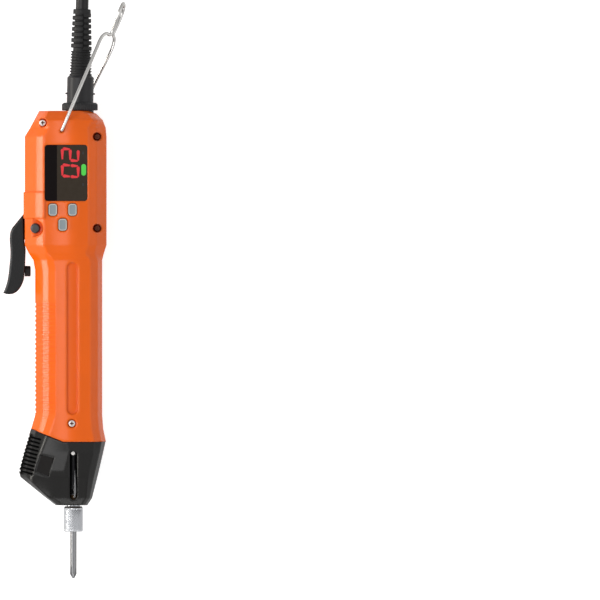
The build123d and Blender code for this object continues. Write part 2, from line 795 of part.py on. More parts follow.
addendum = gear_module
dedendum = 1.2 * gear_module
gear_top_y = gear_y + gear_width
with BuildPart() as sun_gear:
    with BuildSketch(across_plane(gear_top_y)):
        with BuildLine():
            Polyline(*gear_corners(sun_teeth, gear_backlash, addendum, dedendum, 0), close=True)
        make_face()
        Circle(shaft_r + press_gap, mode=Mode.SUBTRACT)
    extrude(amount=gear_width)
sun_gear.part.label = "sun_gear"
export_step(sun_gear.part, "parts/sun_gear.step")

planet_gap = math.pi / planet_teeth
for n, (x, y, z) in enumerate(planet_places):
    facing = n * 2 * math.pi / planet_count + math.pi + planet_gap
    with BuildPart() as planet_gear:
        with BuildSketch(across_plane(gear_top_y, x, z)):
            with BuildLine():
                Polyline(*gear_corners(planet_teeth, gear_backlash, addendum, dedendum, facing), close=True)
            make_face()
            Circle(pin_r + run_gap, mode=Mode.SUBTRACT)
        extrude(amount=gear_width)
    planet_gear.part.label = f"planet_gear_{n + 1}"
    export_step(planet_gear.part, f"parts/planet_gear_{n + 1}.step")

ring_top_gear_y = motor_bottom_y - 0.1
ring_turn = math.pi / ring_teeth
with BuildPart() as ring_gear:
    with BuildSketch(across_plane(ring_top_gear_y)):
        Circle(motor_r)
        with BuildLine():
            Polyline(*gear_corners(ring_teeth, -gear_backlash, dedendum, addendum, ring_turn), close=True)
        make_face(mode=Mode.SUBTRACT)
    extrude(amount=ring_top_gear_y - case_top_y)
ring_gear.part.label = "ring_gear"
export_step(ring_gear.part, "parts/ring_gear.step")

# Motor: can, end cap, stator, windings, rotor, shaft and bearings
motor_top_y = motor_bottom_y + motor_length
cap_t = 3.0
boss_depth = 3.4
motor_bearing_r = 4.0
bearing_seat_r = motor_bearing_r + 0.02
bearing_boss_r = motor_bearing_r + 1.4
can_inner_r = motor_r - can_wall
can_floor_y = motor_bottom_y + 2.0
cap_bottom_y = motor_top_y - cap_t
with BuildPart() as motor_can:
    add(turned([
        (bearing_seat_r, motor_bottom_y), (motor_r, motor_bottom_y), (motor_r, cap_bottom_y),
        (can_inner_r, cap_bottom_y), (can_inner_r, can_floor_y), (bearing_boss_r, can_floor_y),
        (bearing_boss_r, motor_bottom_y + boss_depth), (bearing_seat_r, motor_bottom_y + boss_depth),
    ]))
motor_can.part.label = "motor_can"
export_step(motor_can.part, "parts/motor_can.step")

slip_gap = 0.05
spigot_r = can_inner_r - slip_gap
cap_edge = 0.6
with BuildPart() as motor_cap:
    add(turned([
        (bearing_seat_r, cap_bottom_y - 1.0), (spigot_r, cap_bottom_y - 1.0), (spigot_r, cap_bottom_y),
        (motor_r, cap_bottom_y), (motor_r, motor_top_y - cap_edge), (motor_r - cap_edge, motor_top_y),
        (bearing_seat_r, motor_top_y),
    ]))
motor_cap.part.label = "motor_cap"
export_step(motor_cap.part, "parts/motor_cap.step")

bearing_t = 3.0
with BuildPart() as motor_bearings:
    for bottom in (motor_bottom_y + 0.2, motor_top_y - bearing_t - 0.2):
        add(turned(tube(shaft_r + run_gap, motor_bearing_r, bottom, bottom + bearing_t)))
motor_bearings.part.label = "motor_bearings"
export_step(motor_bearings.part, "parts/motor_bearings.step")

stator_bottom_y = (motor_bottom_y + cap_bottom_y - stator_length) / 2
stator_top_y = stator_bottom_y + stator_length
stator_inner_r = 8.0
stator_slots = 6
stator_slot = (3.0, 3.6)
with BuildPart() as stator:
    with BuildSketch(across_plane(stator_top_y)):
        Circle(spigot_r)
        Circle(stator_inner_r, mode=Mode.SUBTRACT)
        with PolarLocations((stator_inner_r + can_inner_r) / 2 - 0.3, stator_slots):
            Rectangle(*stator_slot, mode=Mode.SUBTRACT)
    extrude(amount=stator_length)
stator.part.label = "stator"
export_step(stator.part, "parts/stator.step")

winding_t = 5.0
winding_edge = 0.8
winding_inner_r = stator_inner_r + 0.4
winding_outer_r = can_inner_r - 1.2
with BuildPart() as windings:
    for bottom in (stator_bottom_y - winding_t, stator_top_y):
        low = bottom + slip_gap
        high = bottom + winding_t - slip_gap
        add(turned([
            (winding_inner_r, low), (winding_outer_r, low), (winding_outer_r, high - winding_edge),
            (winding_outer_r - winding_edge, high), (winding_inner_r + winding_edge, high),
            (winding_inner_r, high - winding_edge),
        ]))
windings.part.label = "windings"
export_step(windings.part, "parts/windings.step")

shaft_bottom_y = gear_y - 0.2
shaft_top_y = motor_top_y + 1.5
with BuildPart() as motor_shaft:
    add(turned([
        (0, shaft_bottom_y), (shaft_r, shaft_bottom_y), (shaft_r, shaft_top_y - 0.3),
        (shaft_r - 0.3, shaft_top_y), (0, shaft_top_y),
    ]))
motor_shaft.part.label = "motor_shaft"
export_step(motor_shaft.part, "parts/motor_shaft.step")

air_gap = 0.4
with BuildPart() as rotor_magnet:
    add(turned(tube(shaft_r + press_gap, stator_inner_r - air_gap, stator_bottom_y, stator_top_y)))
rotor_magnet.part.label = "rotor_magnet"
export_step(rotor_magnet.part, "parts/rotor_magnet.step")
print("drive", ring_gear.part.is_valid, clutch_spring.part.is_valid, bit.part.is_valid)

# Window, flush in its recess
pane_r = window_corner_r - seat_gap
with BuildPart() as display_window:
    with BuildSketch(Plane.XY.offset(head_depth - window_t)):
        with Locations((window_x, window_mid_y)):
            RectangleRounded(window_w - 2 * seat_gap, window_h - 2 * seat_gap, pane_r)
    extrude(amount=window_t - seat_gap)
display_window.part.label = "display_window"
export_step(display_window.part, "parts/display_window.step")

# Display board and the digit module on it
board_w = board_right - board_left
board_mid_x = (board_left + board_right) / 2
board_bottom_y = 178.0
board_top_y = 238.0
with BuildPart() as display_board:
    with BuildSketch(Plane.XY.offset(display_board_z)):
        with Locations((board_mid_x, (board_bottom_y + board_top_y) / 2)):
            Rectangle(board_w, board_top_y - board_bottom_y)
        with Locations(*post_places):
            Circle(post_hole_r, mode=Mode.SUBTRACT)
    extrude(amount=board_t)
display_board.part.label = "display_board"
export_step(display_board.part, "parts/display_board.step")

module_top_z = head_depth - wall - 0.4
module_w = 17.0
module_h = window_h - 2 * window_ledge - 1.0
with BuildPart() as display_module:
    with BuildSketch(Plane.XY.offset(display_board_z + board_t)):
        with Locations((0, window_mid_y)):
            Rectangle(module_w, module_h)
    extrude(amount=module_top_z - display_board_z - board_t)
display_module.part.label = "display_module"
export_step(display_module.part, "parts/display_module.step")

# Keys with a flange behind the front wall, and the switch under each
flange_t = 0.8
flange_margin = 1.0
flange_top_z = head_depth - wall - seat_gap
key_edge_r = 0.4
for place, (x, y) in key_places.items():
    with BuildPart() as key:
        with BuildSketch(Plane.XY.offset(flange_top_z)):
            with Locations((x, y)):
                RectangleRounded(key_w, key_l, key_corner_r)
        extrude(amount=head_depth + key_proud - flange_top_z)
        fillet(key.faces().sort_by(Axis.Z)[-1].edges(), key_edge_r)
        with BuildSketch(Plane.XY.offset(flange_top_z - flange_t)):
            with Locations((x, y)):
                RectangleRounded(key_w + 2 * flange_margin, key_l + 2 * flange_margin, key_corner_r)
        extrude(amount=flange_t)
    key.part.label = f"key_{place}"
    export_step(key.part, f"parts/key_{place}.step")

on_base = (Align.CENTER, Align.CENTER, Align.MIN)
tact_size = (6.0, 6.0, 2.0)
plunger_r = 1.5
plunger_length = flange_top_z - flange_t - key_travel - seat_gap - display_board_z - board_t
with BuildPart() as tact_switches:
    with Locations(*[(x, y, display_board_z + board_t) for x, y in key_places.values()]):
        Box(*tact_size, align=on_base)
        Cylinder(plunger_r, plunger_length, align=on_base)
tact_switches.part.label = "tact_switches"
export_step(tact_switches.part, "parts/tact_switches.step")

# Control board behind the motor, with its parts
control_bottom_y = 140.0
control_top_y = 232.0
control_top_z = control_board_z + board_t
with BuildPart() as control_board:
    with BuildSketch(Plane.XY.offset(control_board_z)):
        with Locations((board_mid_x, (control_bottom_y + control_top_y) / 2)):
            Rectangle(board_w, control_top_y - control_bottom_y)
        with Locations(*low_post_places):
            Circle(post_hole_r, mode=Mode.SUBTRACT)
    extrude(amount=board_t)
control_board.part.label = "control_board"
export_step(control_board.part, "parts/control_board.step")

# Parts on the control board: the capacitor, the drivers and the lever's sensor
capacitor_r = 5.0
capacitor_length = 16.0
capacitor_edge_r = 0.6
chip_size = (5.2, 6.2, 1.8)
chip_places = [(-8.0, 186.0), (0.0, 186.0), (-8.0, 196.0), (0.0, 196.0), (-4.0, 212.0)]
sensor_size = (1.6, 4.0, 10.0)
with BuildPart() as board_parts:
    with Locations((2.0, 152.0, control_top_z + capacitor_r)):
        Cylinder(capacitor_r, capacitor_length, rotation=(90, 0, 0))
    fillet(board_parts.edges(), capacitor_edge_r)
    with Locations(*[(x, y, control_top_z) for x, y in chip_places]):
        Box(*chip_size, align=on_base)
    with Locations((board_left + 1.5, bumper_y, control_top_z)):
        Box(*sensor_size, align=on_base)
board_parts.part.label = "board_parts"
export_step(board_parts.part, "parts/board_parts.step")

# Screws through the two boards
board_screw_head_t = 1.0
board_screw_length = board_t + 3.0
with BuildPart() as board_screws:
    with BuildSketch(Plane.XY.offset(display_board_z)):
        with Locations(*post_places):
            Circle(board_screw_head_r)
    extrude(amount=-board_screw_head_t)
    with BuildSketch(Plane.XY.offset(display_board_z)):
        with Locations(*post_places):
            Circle(board_screw_r)
    extrude(amount=board_screw_length)
    with BuildSketch(Plane.XY.offset(control_top_z)):
        with Locations(*low_post_places):
            Circle(board_screw_head_r)
    extrude(amount=board_screw_head_t)
    with BuildSketch(Plane.XY.offset(control_top_z)):
        with Locations(*low_post_places):
            Circle(board_screw_r)
    extrude(amount=-board_screw_length)
board_screws.part.label = "board_screws"
export_step(board_screws.part, "parts/board_screws.step")

# Casing screws
screw_edge_r = 0.5
cross_size = (2.2, 0.5)
cross_depth = 0.8


def cross_screw(places, seat_z, length):
    """Pan head screws with a cross recess, driven along Z."""
    with BuildPart() as screws:
        with BuildSketch(Plane.XY.offset(seat_z)):
            with Locations(*places):
                Circle(screw_head_r)
        extrude(amount=screw_head_t)
        fillet(screws.faces().filter_by(Axis.Z).group_by(Axis.Z)[-1].edges(), screw_edge_r)
        with BuildSketch(Plane.XY.offset(seat_z)):
            with Locations(*places):
                Circle(screw_r)
        extrude(amount=-length)
        with BuildSketch(Plane.XY.offset(seat_z + screw_head_t)):
            with Locations(*places):
                Rectangle(*cross_size)
                Rectangle(*cross_size, rotation=90)
        extrude(amount=-cross_depth, mode=Mode.SUBTRACT)
    return screws.part


head_screw = cross_screw([(silver_screw_x, silver_screw_y)], silver_seat_z, silver_seat_z + thread_depth)
case_screw = cross_screw([(case_screw_x, case_screw_y)], case_seat_z, case_seat_z - case_bore_r - 0.6)
silver_screws = head_screw + case_screw
silver_screws.label = "silver_screws"
export_step(silver_screws, "parts/silver_screws.step")
dark_screws = cross_screw(dark_screw_places, dark_seat_z, dark_seat_z + thread_depth)
dark_screws.label = "dark_screws"
export_step(dark_screws, "parts/dark_screws.step")

# Reversing switch: body on the inner wall and the knob that slides across
switch_size = (6.0, 7.0, 14.0)
switch_right_x = head_right - wall - 0.8
knob_length = 2.7
rib_notch = 0.5
with BuildPart() as reversing_switch:
    with Locations((switch_right_x, knob_y, 0)):
        Box(*switch_size, align=(Align.MAX, Align.CENTER, Align.CENTER))
reversing_switch.part.label = "reversing_switch"
export_step(reversing_switch.part, "parts/reversing_switch.step")

with BuildPart() as reversing_knob:
    with Locations((switch_right_x + fit_gap, knob_y, 0)):
        Box(knob_length, knob_w, 2 * knob_half, align=(Align.MIN, Align.CENTER, Align.CENTER))
    for z in (-1.5, 0, 1.5):
        with Locations((switch_right_x + fit_gap + knob_length, knob_y, z)):
            Box(rib_notch, 2 * knob_w, rib_notch, mode=Mode.SUBTRACT)
reversing_knob.part.label = "reversing_knob"
export_step(reversing_knob.part, "parts/reversing_knob.step")

# Start lever: a curved grip outside the casing and a hub on its pin
lever_edge = 0.5
with BuildPart() as start_lever:
    with BuildSketch(Plane.XY.offset(-lever_t / 2)):
        with BuildLine():
            shoulder = Line((-29.9, 190.5), (-36.4, 182.6))
            back = Spline(
                shoulder @ 1, (-37.8, 179.2), (-38.1, 175.2), (-37.7, 168.0),
                (-38.2, 160.2), (-39.2, 152.0), (-42.0, 143.3),
            )
            tip = Spline(back @ 1, (-39.6, 142.5), (-35.3, 143.1), (-31.6, 146.8), (-29.6, 151.8))
            Polyline(tip @ 1, (-28.9, 160.0), (-28.6, 169.4), (-29.3, 174.0), shoulder @ 0)
        make_face()
    extrude(amount=lever_t)
    chamfer(start_lever.edges().filter_by(Axis.Z, reverse=True).group_by(Axis.Z)[-1], lever_edge)
    chamfer(start_lever.edges().filter_by(Axis.Z, reverse=True).group_by(Axis.Z)[0], lever_edge)
    with BuildSketch(Plane.XY.offset(-lever_hub_t / 2)):
        with BuildLine():
            Polyline(
                (-30.0, 188.0),
                (pivot_x, pivot_y + lever_hub_r),
                (pivot_x, pivot_y - lever_hub_r),
                (-30.0, 175.0),
                close=True,
            )
        make_face()
        with Locations((pivot_x, pivot_y)):
            Circle(lever_hub_r)
    extrude(amount=lever_hub_t)
    with Locations((pivot_x, pivot_y, 0)):
        Cylinder(lever_pin_r + run_gap, 2 * lever_t, mode=Mode.SUBTRACT)
start_lever.part.label = "start_lever"
export_step(start_lever.part, "parts/start_lever.step")

# Round bumper with the magnet that the sensor feels
lever_back_x = -29.2
bumper_edge_r = 0.7
with BuildPart() as lever_bumper:
    with Locations((lever_back_x, bumper_y, 0)):
        Cylinder(bumper_r, bumper_end_x - lever_back_x, rotation=(0, 90, 0), align=on_base)
    fillet(lever_bumper.faces().sort_by(Axis.X)[-1].edges(), bumper_edge_r)
    add(start_lever.part, mode=Mode.SUBTRACT)
lever_bumper.part.label = "lever_bumper"
export_step(lever_bumper.part, "parts/lever_bumper.step")

# Lever pin: a shoulder screw from the front into the rear half
pin_length = lever_recess_z + 11.0
pin_head_t = 2.2
pin_head_edge_r = 1.2
with BuildPart() as lever_pin:
    with BuildSketch(Plane.XY.offset(lever_recess_z)):
        with Locations((pivot_x, pivot_y)):
            Circle(lever_head_r)
    extrude(amount=pin_head_t)
    fillet(lever_pin.faces().sort_by(Axis.Z)[-1].edges(), pin_head_edge_r)
    with BuildSketch(Plane.XY.offset(lever_recess_z)):
        with Locations((pivot_x, pivot_y)):
            Circle(lever_pin_r)
    extrude(amount=-pin_length)
lever_pin.part.label = "lever_pin"
export_step(lever_pin.part, "parts/lever_pin.step")

# Return spring of the lever, wound round the pin beside the hub
lever_spring_r = 2.4
lever_spring_start = (pivot_x, pivot_y, lever_hub_t / 2 + run_gap)
lever_spring_length = slot_half - lever_hub_t / 2 - 2 * run_gap
with BuildPart() as lever_spring:
    add(coil_spring(
        lever_spring_r, lever_wire_r, lever_spring_start, (0, 0, 1), lever_spring_length, turns=1.5
    ))
lever_spring.part.label = "lever_spring"
export_step(lever_spring.part, "parts/lever_spring.step")

# Suspension bail: one bent wire with an eye, its two ends in the casing
lean = math.radians(bail_lean)


def bail_point(along, across, z):
    """A point of the bail, from its distances along and across its leaning centre line."""
    return (
        bail_x + along * math.sin(lean) + across * math.cos(lean),
        bail_y + along * math.cos(lean) - across * math.sin(lean),
        z,
    )


bail_z = head_depth + wire_r + bail_proud
bail_depth = 4.0
eye_z = 5.0
bail_points = [
    bail_point(0, 0, head_depth - bail_depth),
    bail_point(0, 0, bail_z),
    bail_point(25.0, 0, bail_z),
    bail_point(48.0, 0, 9.0),
    bail_point(bail_neck, 0.2, 5.0),
    bail_point(65.6, 2.6, 2.0),
    bail_point(69.6, 3.0, 2.0),
    bail_point(75.0, 2.4, eye_z),
    bail_point(82.0, 2.6, eye_z),
    bail_point(bail_eye, 3.8, 0),
    bail_point(82.0, 5.2, -eye_z),
    bail_point(75.0, 5.0, -eye_z),
    bail_point(69.6, 3.9, -2.0),
    bail_point(65.6, 4.3, -2.0),
    bail_point(bail_neck, 6.0, -5.0),
    bail_point(48.0, 6.4, -9.0),
    bail_point(22.0, 5.0, -bail_z),
    bail_point(0, 0, -bail_z),
    bail_point(0, 0, bail_depth - head_depth),
]
bail_radii = smooth_radii(bail_points)
bail_radii[0] = bail_bend_r
bail_radii[-1] = bail_bend_r
bail_wire = swept_wire(bail_points, bail_radii, wire_r)[0]
bail_wire.label = "suspension_bail"
export_step(bail_wire, "parts/suspension_bail.step")

# Cord socket in the top wall
socket_axis = Axis((socket_x, 0, 0), (0, 1, 0))
socket_plane = Plane(origin=(socket_x, 0, 0), x_dir=(1, 0, 0), z_dir=(0, 0, 1))
socket_bore_r = 6.6
socket_bottom_y = 242.0
socket_flange_r = socket_r + 1.0
neck_top_y = ring_top_y - 0.9
inner_top_y = head_top_y - wall
with BuildPart() as cord_socket:
    add(turned([
        (0, socket_bottom_y), (socket_r - 0.8, socket_bottom_y), (socket_r - 0.8, inner_top_y - 3.0),
        (socket_flange_r, inner_top_y - 3.0), (socket_flange_r, inner_top_y - 2.0),
        (socket_r, inner_top_y - 0.05), (socket_r, neck_top_y), (socket_bore_r, neck_top_y),
        (socket_bore_r, socket_bottom_y + 4.0), (0, socket_bottom_y + 4.0),
    ], socket_axis, socket_plane))
cord_socket.part.label = "cord_socket"
export_step(cord_socket.part, "parts/cord_socket.step")

# Coupling ring on the neck of the socket
ring_bottom_y = head_top_y + 0.3
ring_bore_r = socket_r + run_gap
lip_r = plug_r + 0.45
with BuildPart() as coupling_ring:
    add(turned([
        (ring_bore_r, ring_bottom_y), (ring_r - 0.4, ring_bottom_y), (ring_r, ring_bottom_y + 0.4),
        (ring_r, ring_top_y - 1.0), (ring_r - 1.0, ring_top_y), (lip_r, ring_top_y),
        (lip_r, neck_top_y + 0.15), (ring_bore_r, neck_top_y + 0.15),
    ], socket_axis, socket_plane))
coupling_ring.part.label = "coupling_ring"
export_step(coupling_ring.part, "parts/coupling_ring.step")

# Plug: a straight nose in the socket and a barrel that leans a little
plug_tilt = math.radians(plug_lean)
plug_plane = Plane(
    origin=(socket_x, head_top_y, 0),
    x_dir=(math.cos(plug_tilt), -math.sin(plug_tilt), 0),
    z_dir=(0, 0, 1),
)
plug_axis = Axis(plug_plane.origin, plug_plane.y_dir)
plug_nose_r = socket_bore_r - 0.2
barrel_bottom = neck_top_y + 0.3 - head_top_y
barrel_top = plug_top_y - head_top_y
nub_y = 10.4
nub_size = (2 * plug_r + 1.8, 0.9)
with BuildPart() as plug_body:
    add(turned([
        (0, barrel_bottom), (plug_r, barrel_bottom), (plug_r, barrel_top - 1.2),
        (plug_r - 1.2, barrel_top), (0, barrel_top),
    ], plug_axis, plug_plane))
    add(turned([
        (0, socket_bottom_y + 5.0), (plug_nose_r, socket_bottom_y + 5.0),
        (plug_nose_r, neck_top_y + 1.0), (0, neck_top_y + 1.0),
    ], socket_axis, socket_plane))
    with BuildSketch(plug_plane):
        with Locations((0, nub_y)):
            Rectangle(*nub_size)
    extrude(amount=1.6, both=True)
plug_body.part.label = "plug_body"
export_step(plug_body.part, "parts/plug_body.step")


def boot_corners(length, deepest, pitch=3.3, base_r=boot_base_r, top_r=boot_top_r):
    """Corners of a ribbed strain relief that tapers from its base, with deeper grooves towards its top."""
    corners = [(0, 0), (base_r, 0)]
    for groove in range(int((length - 3.5) / pitch)):
        low = 1.2 + groove * pitch
        share = low / length
        outer = base_r + (top_r - base_r) * share
        depth = deepest * min(1.0, 0.35 + share)
        corners += [
            (outer, low), (outer - depth, low + 0.25 * pitch),
            (outer - depth, low + 0.5 * pitch), (outer, low + 0.75 * pitch),
        ]
    corners += [(top_r, length - 2.2), (top_r, length), (0, length)]
    return corners


# Strain relief of the plug
boot_length = boot_top_y - plug_top_y
boot_plane = Plane(
    origin=plug_plane.from_local_coords(Vector(0, barrel_top, 0)),
    x_dir=plug_plane.x_dir,
    z_dir=plug_plane.z_dir,
)
with BuildPart() as strain_relief:
    add(turned(boot_corners(boot_length, 1.2), plug_axis, boot_plane))
strain_relief.part.label = "strain_relief"
export_step(strain_relief.part, "parts/strain_relief.step")

# Cord: out of the boot, down to the surface and over to the coil
coil_x = -22.5
coil_y = 412.0
coil_r = 49.7
boot_end = boot_plane.from_local_coords(Vector(0, boot_length, 0))
cord_points = [
    (boot_end.X, boot_end.Y, 0.0),
    (boot_end.X + 17.0 * math.sin(plug_tilt), boot_end.Y + 17.0 * math.cos(plug_tilt), 0.0),
    (7.0, 349.0, -4.5),
    (13.0, 367.0, -11.0),
    (21.5, 383.0, -16.5),
    (26.5, 398.0, cord_z),
    (coil_x + coil_r, coil_y, cord_z),
]
cord_radii = smooth_radii(cord_points)
cord_tube, cord_run = swept_wire(cord_points, cord_radii, cord_r)
cord_tube.label = "cord"
export_step(cord_tube, "parts/cord.step")
cord_section = math.pi * cord_r ** 2
print("cord radii", [round(radius) for radius in cord_radii])
print("cord volume over section times length", round(cord_tube.volume / cord_section / cord_run, 4))

# Coil: three turns on the surface, two in the grooves between them and one on top
inner_turn_r = coil_r - 2 * cord_d
layer_rise = cord_r * math.sqrt(3)
turn_edge = 1.2
coil_inner_r = inner_turn_r - cord_r
coil_outer_r = coil_r + cord_r
coil_top_z = floor_z + cord_d + 2 * layer_rise
coil_axis = Axis((coil_x, coil_y, 0), (0, 0, 1))
coil_plane = Plane(origin=(coil_x, coil_y, 0), x_dir=(1, 0, 0), z_dir=(0, -1, 0))
with BuildPart() as cord_coil:
    add(turned([
        (coil_inner_r + turn_edge, floor_z), (coil_outer_r - turn_edge, floor_z),
        (coil_outer_r, floor_z + turn_edge), (coil_outer_r, floor_z + cord_d - turn_edge),
        (coil_r - cord_r, coil_top_z), (inner_turn_r + cord_r, coil_top_z),
        (coil_inner_r, floor_z + cord_d - turn_edge), (coil_inner_r, floor_z + turn_edge),
    ], coil_axis, coil_plane))
cord_coil.part.label = "cord_coil"
export_step(cord_coil.part, "parts/cord_coil.step")

# Far plug: it leans from the top of the coil down to the surface
far_boot_length = 30.0
far_body_length = 24.0
far_shell_length = 11.0
far_body_r = 8.0
far_shell_r = 6.8
far_start_y = coil_y - 14.0
far_start_height = 20.6
far_reach = far_boot_length + far_body_length + far_shell_length
far_lean = math.asin((far_start_height - far_shell_r) / far_reach)
far_direction = Vector(0, -math.cos(far_lean), -math.sin(far_lean))
far_start = Vector(coil_x + cord_d - coil_r, far_start_y, floor_z + far_start_height)
far_x_dir = (1, 0, 0)


def far_turned(profile, distance):
    """A solid of revolution about the far plug's axis, at a distance from the end of the cord."""
    plane = Plane(
        origin=far_start + far_direction * distance,
        x_dir=far_x_dir,
        z_dir=Vector(*far_x_dir).cross(far_direction),
    )
    return turned(profile, Axis(far_start, far_direction), plane)


far_boot_corners = boot_corners(far_boot_length, 1.0)
with BuildPart() as far_strain_relief:
    add(far_turned([(r, far_boot_length - along) for r, along in reversed(far_boot_corners)], 0))
far_strain_relief.part.label = "far_strain_relief"
export_step(far_strain_relief.part, "parts/far_strain_relief.step")

with BuildPart() as far_plug_body:
    add(far_turned([
        (0, 0), (far_body_r - 1.0, 0), (far_body_r, 1.0), (far_body_r, far_body_length - 0.6),
        (far_body_r - 0.6, far_body_length), (0, far_body_length),
    ], far_boot_length))
far_plug_body.part.label = "far_plug_body"
export_step(far_plug_body.part, "parts/far_plug_body.step")

# Metal shell of the far plug, and its contact pins
far_shell_t = 0.8
far_face_t = 2.5
pin_count = 5
pin_ring_r = 3.4
contact_r = 0.6
far_face = far_start + far_direction * (far_boot_length + far_body_length + far_face_t)
with BuildPart() as far_plug_shell:
    add(far_turned([
        (0, 0), (far_shell_r, 0), (far_shell_r, far_shell_length),
        (far_shell_r - far_shell_t, far_shell_length), (far_shell_r - far_shell_t, far_face_t),
        (0, far_face_t),
    ], far_boot_length + far_body_length))
    with BuildSketch(Plane(origin=far_face, x_dir=far_x_dir, z_dir=far_direction)):
        with PolarLocations(pin_ring_r, pin_count):
            Circle(contact_r)
    extrude(amount=far_shell_length - far_face_t - 2.0)
far_plug_shell.part.label = "far_plug_shell"
export_step(far_plug_shell.part, "parts/far_plug_shell.step")
print("ends", cord_tube.is_valid, bail_wire.is_valid, plug_body.part.is_valid, start_lever.part.is_valid)
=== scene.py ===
"""The finished look of an electric torque screwdriver that lies on its back, around its fixed frame.

Lengths are in metres unless a name or a comment says millimetres.
"""

import math

import bmesh
import bpy
from mathutils import Matrix, Vector
from mathutils.bvhtree import BVHTree


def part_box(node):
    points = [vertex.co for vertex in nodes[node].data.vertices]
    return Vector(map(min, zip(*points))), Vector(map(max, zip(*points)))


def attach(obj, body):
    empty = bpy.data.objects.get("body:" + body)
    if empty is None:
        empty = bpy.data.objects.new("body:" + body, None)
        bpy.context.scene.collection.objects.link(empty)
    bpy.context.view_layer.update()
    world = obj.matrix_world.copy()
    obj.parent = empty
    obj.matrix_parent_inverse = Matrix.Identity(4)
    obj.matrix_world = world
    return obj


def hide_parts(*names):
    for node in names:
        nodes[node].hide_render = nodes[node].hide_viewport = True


MM = 0.001

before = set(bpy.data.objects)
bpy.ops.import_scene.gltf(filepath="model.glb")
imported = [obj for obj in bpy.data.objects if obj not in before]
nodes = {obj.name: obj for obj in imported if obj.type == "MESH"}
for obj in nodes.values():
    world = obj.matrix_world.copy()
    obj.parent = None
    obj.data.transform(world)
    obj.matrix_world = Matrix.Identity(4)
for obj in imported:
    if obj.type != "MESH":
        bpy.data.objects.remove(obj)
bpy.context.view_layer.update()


# Short ways to make shader nodes

def feed(tree, value, socket):
    """Sets a socket to a number, or links another socket to it."""
    if isinstance(value, (int, float)):
        socket.default_value = value
    else:
        tree.links.new(value, socket)


def math_node(tree, operation, *values):
    """A Math node whose inputs are sockets or numbers."""
    node = tree.nodes.new("ShaderNodeMath")
    node.operation = operation
    for place, value in enumerate(values):
        feed(tree, value, node.inputs[place])
    return node.outputs[0]


def product(tree, *factors):
    """The product of several sockets or numbers."""
    result = factors[0]
    for factor in factors[1:]:
        result = math_node(tree, "MULTIPLY", result, factor)
    return result


def noise(tree, place, scale, detail):
    """A Noise texture whose scale is a socket or a number."""
    node = tree.nodes.new("ShaderNodeTexNoise")
    node.inputs["Detail"].default_value = detail
    tree.links.new(place, node.inputs["Vector"])
    feed(tree, scale, node.inputs["Scale"])
    return node.outputs["Fac"]


def varied(tree, fac, spread, middle):
    """A value that strays about its middle with a noise."""
    shift = math_node(tree, "SUBTRACT", fac, 0.5)
    return math_node(tree, "ADD", product(tree, shift, spread), middle)


def colour_ramp(tree, fac, colours, ends=(0.0, 1.0)):
    """A colour that runs between two others."""
    ramp = tree.nodes.new("ShaderNodeValToRGB")
    for element, colour, end in zip(ramp.color_ramp.elements, colours, ends):
        element.position = end
        element.color = (*colour, 1.0)
    tree.links.new(fac, ramp.inputs["Fac"])
    return ramp.outputs["Color"]


def own_place(tree):
    """The place on the object, as a vector."""
    return tree.nodes.new("ShaderNodeTexCoord").outputs["Object"]


def own_xy(tree):
    """The place on the object, as its X and its Y."""
    split = tree.nodes.new("ShaderNodeSeparateXYZ")
    tree.links.new(own_place(tree), split.inputs[0])
    return split.outputs["X"], split.outputs["Y"]


def ray_strength(tree, mirrored, seen):
    """A strength for rays off or through a surface, and another for the camera's own rays."""
    rays = tree.nodes.new("ShaderNodeLightPath")
    indirect = math_node(tree, "MAXIMUM", rays.outputs["Is Glossy Ray"], rays.outputs["Is Transmission Ray"])
    return math_node(
        tree, "ADD", product(tree, indirect, mirrored), product(tree, rays.outputs["Is Camera Ray"], seen)
    )


# Node groups shared by the materials

GRAIN_SCALE = 4000.0
MOTTLE_SCALE = 90.0
RING_SCALE = 5000.0
RING_STRETCH = (0.04, 1.0, 0.04)
RING_SPREAD = 0.25


def new_group(name, inputs, outputs):
    """An empty shader group with values as its named inputs and outputs."""
    group = bpy.data.node_groups.new(name, "ShaderNodeTree")
    for label, value in inputs:
        socket = group.interface.new_socket(label, in_out="INPUT", socket_type="NodeSocketFloat")
        socket.default_value = value
    for label in outputs:
        group.interface.new_socket(label, in_out="OUTPUT", socket_type="NodeSocketFloat")
    return group, group.nodes.new("NodeGroupInput"), group.nodes.new("NodeGroupOutput")


def moulded_grain_group():
    """Fine moulding grain: a height for bumps, and values that vary slowly over the surface."""
    group, inside, outside = new_group(
        "moulded_grain",
        [("Scale", GRAIN_SCALE), ("Roughness", 0.45), ("Spread", 0.08)],
        ["Height", "Roughness", "Mottle"],
    )
    place = own_place(group)
    fine = noise(group, place, inside.outputs["Scale"], detail=3.0)
    broad = noise(group, place, MOTTLE_SCALE, detail=4.0)
    rough = varied(group, broad, inside.outputs["Spread"], inside.outputs["Roughness"])
    group.links.new(fine, outside.inputs["Height"])
    group.links.new(rough, outside.inputs["Roughness"])
    group.links.new(broad, outside.inputs["Mottle"])
    return group


def turned_metal_group():
    """Fine rings left by turning about the Y axis, as a height and a roughness."""
    group, inside, outside = new_group("turned_metal", [("Roughness", 0.3)], ["Height", "Roughness"])
    stretch = group.nodes.new("ShaderNodeMapping")
    stretch.inputs["Scale"].default_value = RING_STRETCH
    group.links.new(own_place(group), stretch.inputs["Vector"])
    streak = noise(group, stretch.outputs["Vector"], RING_SCALE, detail=2.0)
    rough = varied(group, streak, RING_SPREAD, inside.outputs["Roughness"])
    group.links.new(streak, outside.inputs["Height"])
    group.links.new(rough, outside.inputs["Roughness"])
    return group


def use_group(tree, group, **values):
    """A shader group in a material, with its inputs set."""
    node = tree.nodes.new("ShaderNodeGroup")
    node.node_tree = group
    for label, value in values.items():
        node.inputs[label].default_value = value
    return node


